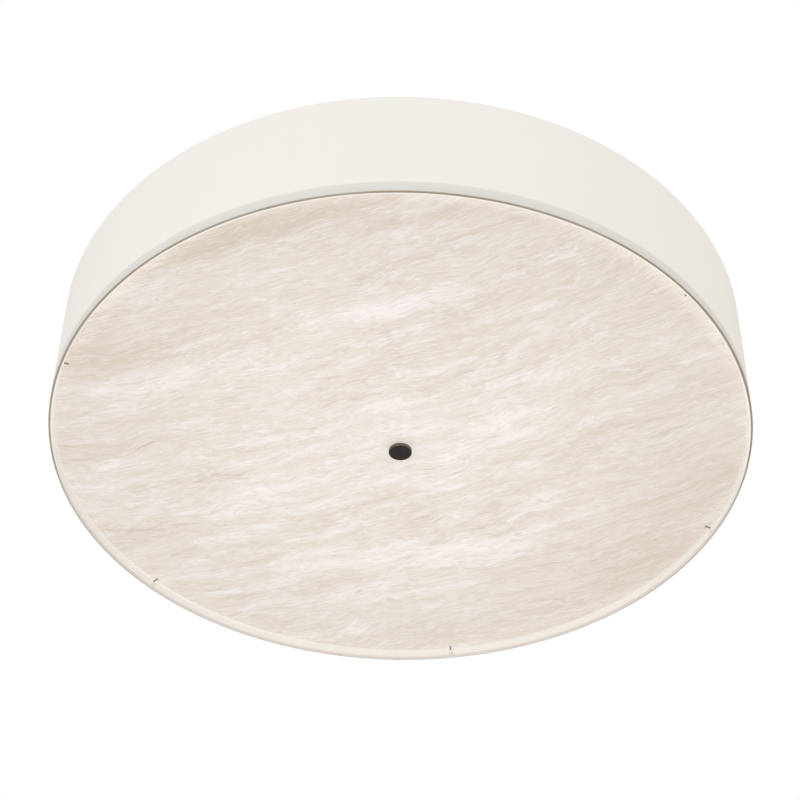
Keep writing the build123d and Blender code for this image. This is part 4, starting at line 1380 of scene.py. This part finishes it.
def build_cluster(scene):
    """White can with its cover, screws and the finial's threaded rod."""
    sizes = scene.light_fittings
    low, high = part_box("cluster_can")
    radius, wall = high.x, sizes.can_wall
    hole = high_corner("stem").x + sizes.thread_air
    corners = [(hole, high.z), (radius, high.z), (radius, low.z), (radius - wall, low.z),
               (radius - wall, high.z - wall), (hole, high.z - wall)]
    can = Form().turned(soften(corners, 0.0009, 4), steps=120).piece(
        "lamp_can", "white_metal", "fixture", ("cluster_can",))
    for angle in LAMP_ANGLES:
        carve(can, Form().turned([(0.0, 0.02), (sizes.tube, 0.02), (sizes.tube, 0.05), (0.0, 0.05)],
                                 outward(angle, LAMP_HEIGHT), 32))
    eased_copy("cluster_cover", "lamp_can_cover", "white_metal", "fixture", sizes.edge)
    low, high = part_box("cover_screws")
    head, shank = 0.0035, 0.00175
    place = high.x - head
    head_seat = low_corner("cluster_cover").z
    form = Form()
    for side in (-place, place):
        outline = [(0.0, high.z), (0.0012, high.z), (shank, high.z - 0.0006), (shank, head_seat),
                   (0.0034, head_seat), (head, head_seat - sizes.edge), (0.0032, head_seat - 0.0012),
                   (0.0018, low.z), (0.0, low.z)]
        form.turned(outline, Matrix.Translation((side, 0, 0)), 36)
    screws = form.piece("lamp_can_screws", "steel", "fixture", ("cover_screws",))
    for side in (-place, place):
        carve(screws, screw_slot(side, head, 0.0004, low.z, 0.0009))
    threaded_tube("finial_rod", "threaded_rod", "steel", sizes.bore, sizes)
    low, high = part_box("rod_nuts")
    form = Form()
    for seat in (low.z, high.z - sizes.nut):
        form.nut(sizes.nut_flats, sizes.tube + sizes.thread_air, seat, seat + sizes.nut)
    form.piece("threaded_rod_nuts", "steel", "fixture", ("rod_nuts",))


def build_arms(scene):
    """Arms from the can to the sockets, with their nuts."""
    sizes = scene.light_fittings
    nuts = Form()
    can, nut = high_corner("cluster_can").x, sizes.nut
    for lamp, angle in zip(LAMPS, LAMP_ANGLES):
        start, end = reach(f"lamp_arm_{lamp}", angle)
        threads = [(start + sizes.lead_in, can + nut + 0.006), (end - 0.016, end - sizes.lead_in)]
        outline = tube_outline(start, end, sizes.tube, sizes.bore, threads, sizes)
        Form().turned(outline, outward(angle, LAMP_HEIGHT), 48).piece(
            f"lamp_tube_{lamp}", "white_metal", "fixture", (f"lamp_arm_{lamp}",))
        for seat in (can - sizes.can_wall - nut, can + sizes.thread_air):
            nuts.nut(sizes.nut_flats, sizes.tube + sizes.thread_air, seat, seat + nut,
                     outward(angle, LAMP_HEIGHT))
    nuts.piece("lamp_tube_nuts", "steel", "fixture", ("arm_nuts",))


def build_sockets(scene):
    """Glazed sockets with a stepped back and a rounded mouth."""
    sizes = scene.light_fittings
    shell = half_height("socket_shell_1") + sizes.thread_air
    widest = half_height("socket_1")
    for lamp, angle in zip(LAMPS, LAMP_ANGLES):
        back, mouth = reach(f"socket_{lamp}", angle)
        floor = reach(f"socket_shell_{lamp}", angle)[0]
        neck, bore = sizes.socket_neck, sizes.tube + sizes.thread_air
        corners = [(bore, back), (neck, back), (neck, back + 0.014), (widest, floor), (widest, mouth - 0.012),
                   (widest - 0.0007, mouth - 0.011), (widest - 0.0007, mouth - 0.0095),
                   (widest, mouth - 0.0085), (widest, mouth), (shell, mouth), (shell, floor), (0.0, floor),
                   (0.0, back + 0.008), (bore, back + 0.008)]
        outline = soften(corners[:11], 0.0009, 4, closed=False) + corners[11:]
        Form().turned(outline, outward(angle, LAMP_HEIGHT), 80).piece(
            f"glazed_socket_{lamp}", "porcelain", "fixture", (f"socket_{lamp}",), sharp=40)


def build_bulbs(scene):
    """Lamps: rolled screw base, insulator, tip, collar and opal globe."""
    sizes = scene.light_fittings
    for lamp, angle in zip(LAMPS, LAMP_ANGLES):
        body = f"bulb_{lamp}"
        place = outward(angle, LAMP_HEIGHT)
        tip, seat = reach(f"bulb_base_{lamp}", angle)
        end = reach(f"bulb_globe_{lamp}", angle)[1]
        crest = half_height(f"bulb_base_{lamp}")
        root = crest - sizes.screw_depth

        def rolled(phase):
            """Round thread: radius for a share of one turn's rise."""
            return root + (crest - root) * (0.5 + 0.5 * cos(tau * phase))

        start, finish = tip + 0.0052, seat - 0.006
        base = Form().helix(rolled, start, finish, sizes.screw_pitch, place=place)
        skirt = [(root - 0.0006, tip + 0.004), (root, tip + 0.0043), (crest, start)]
        throat = [(crest, finish), (crest, seat - 0.0006), (crest - 0.0005, seat), (root - 0.002, seat),
                  (root - 0.002, tip + 0.0046), (root - 0.0006, tip + 0.004)]
        base.turned(skirt, place, 72, closed=False).turned(throat, place, 72, closed=False)
        base.piece(f"lamp_screw_{lamp}", "nickel", body, (f"bulb_base_{lamp}",), sharp=50)
        ring = [(0.0, tip + 0.0012), (0.0040, tip + 0.0012), (0.0046, tip + 0.0009), (0.0052, tip + 0.0012),
                (root - 0.0012, tip + 0.0040), (root - 0.0012, tip + 0.0052), (0.0, tip + 0.0052)]
        Form().turned(ring, place, 48).piece(f"lamp_insulator_{lamp}", "rubber", body)
        dot = [(0.0, tip), (0.0022, tip + 0.0002), (0.0036, tip + 0.0006), (0.0042, tip + 0.0013),
               (0.0, tip + 0.0013)]
        Form().turned(dot, place, 32).piece(f"lamp_contact_{lamp}", "brass", body)
        neck, join = sizes.lamp_neck, seat + 0.009
        collar = [(crest - 0.001, seat), (crest, seat), (neck - 0.0006, seat + 0.0012), (neck, seat + 0.0024),
                  (neck + 0.0002, join - 0.0004), (neck - 0.0001, join), (neck - 0.0012, join),
                  (crest - 0.001, seat + 0.0012)]
        Form().turned(collar, place, 72).piece(f"lamp_collar_{lamp}", "porcelain", body)
        globe = half_height(f"bulb_globe_{lamp}")
        middle = end - globe
        blend = radians(130)
        meet = Vector((globe * sin(blend), middle + globe * cos(blend)))
        slope = Vector((sin(blend - pi / 2), cos(blend - pi / 2)))
        first, handle = Vector((neck - 0.0002, join)), 0.008
        guides = (first, first + Vector((0.0, handle)), meet - slope * handle, meet)
        flare = [cubic(guides, step / 8) for step in range(9)]
        cap = [(globe * sin(blend * (1 - k / 18)), middle + globe * cos(blend * (1 - k / 18)))
               for k in range(1, 19)]
        Form().turned([(0.0, join)] + flare + cap, place, 72).piece(
            f"lamp_globe_{lamp}", "opal", body, (f"bulb_globe_{lamp}",), sharp=60)


def finish_hidden_nodes():
    """Gives the CAD pieces that stay as they are their finishes."""
    slots = {row["node"]: row["material_slot"] for row in frame["record"]["subparts"]}
    for name, node in frame["nodes"].items():
        node.data.materials.clear()
        node.data.materials.append(bpy.data.materials[FINISHES[slots[name]]])


# Studio

# Name, place, width, power and tint of each soft light
SOFT_BOXES = (
    ("key_box", (-1.1, -2.9, -1.3), 1.8, 18.2, (1.0, 1.0, 1.0)),
    ("fill_box", (2.4, -0.6, 0.9), 1.6, 5.0, (1.0, 0.90, 0.60)),
    ("back_box", (-0.6, 2.4, 1.1), 1.6, 12.0, (1.0, 1.0, 1.0)),
)


def soft_box(name, place, size, power, tint, target=(0, 0, -0.17)):
    """Large soft light that faces a point."""
    lamp = bpy.data.lights.new(name, "AREA")
    lamp.shape = "DISK"
    lamp.size = size
    lamp.energy = power
    lamp.color = tint
    holder = bpy.data.objects.new(name, lamp)
    holder.location = place
    holder.rotation_euler = (Vector(target) - Vector(place)).to_track_quat("-Z", "Y").to_euler()
    bpy.context.scene.collection.objects.link(holder)


def build_camera(settings):
    """Camera below the light, looking up past its near rim."""
    data = bpy.data.cameras.new("photo_camera")
    data.lens = settings.lens
    data.sensor_width = 36.0
    data.clip_end = 60.0
    camera = bpy.data.objects.new("photo_camera", data)
    right, rise = Vector((1, 0, 0)), Vector((0, -sin(settings.pitch), cos(settings.pitch)))
    forward = Vector((0, cos(settings.pitch), sin(settings.pitch)))
    leaned_right = right * cos(settings.roll) + rise * sin(settings.roll)
    leaned_rise = rise * cos(settings.roll) - right * sin(settings.roll)
    turned = Matrix((leaned_right, leaned_rise, -forward)).transposed().to_4x4()
    camera.matrix_world = Matrix.Translation(settings.camera) @ turned
    bpy.context.scene.collection.objects.link(camera)
    bpy.context.scene.camera = camera


def build_sky(settings):
    """Even white light; the camera sees plain white behind the object."""
    world = bpy.data.worlds.new("studio_sky")
    world.use_nodes = True
    world.node_tree.nodes.clear()
    w = Wiring(world.node_tree)
    seen = w.node("ShaderNodeLightPath").outputs["Is Camera Ray"]
    strength = w.fade(seen, 0.0, 1.0, settings.sky, 1.0)
    background = w.node("ShaderNodeBackground", {"Color": (1.0, 1.0, 1.0, 1.0), "Strength": strength})
    output = w.node("ShaderNodeOutputWorld")
    w.feed(output.inputs["Surface"], background.outputs[0])
    bpy.context.scene.world = world


def build_floor(settings):
    """Plain pale floor far below the light."""
    w, place, close = new_finish("Pale floor")
    grain = w.noise(place, 3.0, 4.0, 0.6)
    tint = w.mix(w.fade(grain, 0.3, 0.7, 0.0, 0.12), settings.floor_colour, (0.80, 0.79, 0.77))
    close(tint, 0.8)
    half = settings.floor_size / 2
    mesh = bpy.data.meshes.new("studio_floor")
    mesh.from_pydata([(-half, -half, settings.floor), (half, -half, settings.floor),
                      (half, half, settings.floor), (-half, half, settings.floor)], [], [(0, 1, 2, 3)])
    mesh.materials.append(bpy.data.materials["Pale floor"])
    floor = bpy.data.objects.new("studio_floor", mesh)
    bpy.context.scene.collection.objects.link(floor)


def build_studio(scene):
    """Camera, sky, floor and soft boxes."""
    settings = scene.light_studio
    scene.view_settings.view_transform = "Standard"
    scene.view_settings.look = "None"
    build_camera(settings)
    build_sky(settings)
    build_floor(settings)
    for box in SOFT_BOXES:
        soft_box(*box)


# Operators, panel and registration

DONE = {"FINISHED"}
UNDOABLE = {"REGISTER", "UNDO"}


class CEILINGLIGHT_OT_stage(bpy.types.Operator):
    """Set up the camera, the even sky, the floor and the soft boxes"""

    bl_idname = "ceiling_light.stage"
    bl_label = "Studio"
    bl_options = UNDOABLE

    def execute(self, context):
        build_studio(context.scene)
        return DONE


class CEILINGLIGHT_OT_finishes(bpy.types.Operator):
    """Make every finish and give the frame's pieces theirs"""

    bl_idname = "ceiling_light.finishes"
    bl_label = "Finishes"
    bl_options = UNDOABLE

    def execute(self, context):
        build_finishes(context.scene)
        finish_hidden_nodes()
        return DONE


class CEILINGLIGHT_OT_liner(bpy.types.Operator):
    """Build the liner and the wire rings"""

    bl_idname = "ceiling_light.liner"
    bl_label = "Liner and rings"
    bl_options = UNDOABLE

    def execute(self, context):
        build_frame_rings(context.scene)
        return DONE


class CEILINGLIGHT_OT_shade(bpy.types.Operator):
    """Build the cloth drum with its rolled hems"""

    bl_idname = "ceiling_light.shade"
    bl_label = "Cloth drum"
    bl_options = UNDOABLE

    def execute(self, context):
        build_shade(context.scene)
        return DONE


class CEILINGLIGHT_OT_tabs(bpy.types.Operator):
    """Build the six bent wires under the panel"""

    bl_idname = "ceiling_light.tabs"
    bl_label = "Panel tabs"
    bl_options = UNDOABLE

    def execute(self, context):
        build_tabs(context.scene)
        return DONE


class CEILINGLIGHT_OT_panel(bpy.types.Operator):
    """Build the veined diffuser panel"""

    bl_idname = "ceiling_light.panel"
    bl_label = "Diffuser panel"
    bl_options = UNDOABLE

    def execute(self, context):
        build_panel(context.scene)
        return DONE


class CEILINGLIGHT_OT_finial(bpy.types.Operator):
    """Build the finial and its washer"""

    bl_idname = "ceiling_light.finial"
    bl_label = "Finial and washer"
    bl_options = UNDOABLE

    def execute(self, context):
        build_finial(context.scene)
        return DONE


class CEILINGLIGHT_OT_spider(bpy.types.Operator):
    """Build the spider's hub and rods"""

    bl_idname = "ceiling_light.spider"
    bl_label = "Spider"
    bl_options = UNDOABLE

    def execute(self, context):
        build_spider(context.scene)
        return DONE


class CEILINGLIGHT_OT_stem(bpy.types.Operator):
    """Build the hanging tube, the nipple and their nuts"""

    bl_idname = "ceiling_light.stem"
    bl_label = "Stem"
    bl_options = UNDOABLE

    def execute(self, context):
        build_stem(context.scene)
        return DONE


class CEILINGLIGHT_OT_canopy(bpy.types.Operator):
    """Build the canopy, its collar and thumb screw"""

    bl_idname = "ceiling_light.canopy"
    bl_label = "Canopy"
    bl_options = UNDOABLE

    def execute(self, context):
        build_canopy(context.scene)
        return DONE


class CEILINGLIGHT_OT_strap(bpy.types.Operator):
    """Build the ceiling strap and its ground screw"""

    bl_idname = "ceiling_light.strap"
    bl_label = "Ceiling strap"
    bl_options = UNDOABLE

    def execute(self, context):
        build_ceiling_strap(context.scene)
        return DONE


class CEILINGLIGHT_OT_cluster(bpy.types.Operator):
    """Build the lamp can, its cover and the threaded rod"""

    bl_idname = "ceiling_light.cluster"
    bl_label = "Lamp cluster"
    bl_options = UNDOABLE

    def execute(self, context):
        build_cluster(context.scene)
        return DONE


class CEILINGLIGHT_OT_arms(bpy.types.Operator):
    """Build the lamp arms and their nuts"""

    bl_idname = "ceiling_light.arms"
    bl_label = "Lamp arms"
    bl_options = UNDOABLE

    def execute(self, context):
        build_arms(context.scene)
        return DONE


class CEILINGLIGHT_OT_sockets(bpy.types.Operator):
    """Build the glazed sockets"""

    bl_idname = "ceiling_light.sockets"
    bl_label = "Sockets"
    bl_options = UNDOABLE

    def execute(self, context):
        build_sockets(context.scene)
        return DONE


class CEILINGLIGHT_OT_lamps(bpy.types.Operator):
    """Build the lamps with their screw bases and opal globes"""

    bl_idname = "ceiling_light.lamps"
    bl_label = "Lamps"
    bl_options = UNDOABLE

    def execute(self, context):
        build_bulbs(context.scene)
        return DONE


OPERATORS = (
    CEILINGLIGHT_OT_stage, CEILINGLIGHT_OT_finishes, CEILINGLIGHT_OT_liner, CEILINGLIGHT_OT_shade,
    CEILINGLIGHT_OT_tabs, CEILINGLIGHT_OT_panel, CEILINGLIGHT_OT_finial, CEILINGLIGHT_OT_spider,
    CEILINGLIGHT_OT_stem, CEILINGLIGHT_OT_canopy, CEILINGLIGHT_OT_strap, CEILINGLIGHT_OT_cluster,
    CEILINGLIGHT_OT_arms, CEILINGLIGHT_OT_sockets, CEILINGLIGHT_OT_lamps,
)
GROUPS = {
    "light_shade": ShadeSizes, "light_panel": PanelSizes, "light_fittings": FittingSizes,
    "light_colours": FinishColours, "light_glow": GlowLevels, "light_studio": StudioSettings,
}


class CEILINGLIGHT_PT_pieces(bpy.types.Panel):
    """Sizes, colours and builders of the ceiling light"""

    bl_idname = "CEILINGLIGHT_PT_pieces"
    bl_label = "Drum Ceiling Light"
    bl_space_type = "VIEW_3D"
    bl_region_type = "UI"
    bl_category = "Ceiling Light"

    def draw(self, context):
        column = self.layout.column(align=True)
        for made in OPERATORS:
            column.operator(made.bl_idname, text=made.bl_label)
        for name, group in GROUPS.items():
            box = self.layout.box()
            box.label(text=group.__doc__)
            for key in group.__annotations__:
                box.prop(getattr(context.scene, name), key)


def register():
    for group in GROUPS.values():
        bpy.utils.register_class(group)
    for name, group in GROUPS.items():
        setattr(bpy.types.Scene, name, PointerProperty(type=group))
    for made in (*OPERATORS, CEILINGLIGHT_PT_pieces):
        bpy.utils.register_class(made)


def unregister():
    for made in (CEILINGLIGHT_PT_pieces, *reversed(OPERATORS)):
        bpy.utils.unregister_class(made)
    for name in GROUPS:
        delattr(bpy.types.Scene, name)
    for group in GROUPS.values():
        bpy.utils.unregister_class(group)


def main():
    """Registers everything and builds the light in order."""
    register()
    for made in OPERATORS:
        area, name = made.bl_idname.split(".")
        getattr(getattr(bpy.ops, area), name)()
    bpy.context.view_layer.update()


if __name__ == "__main__":
    main()
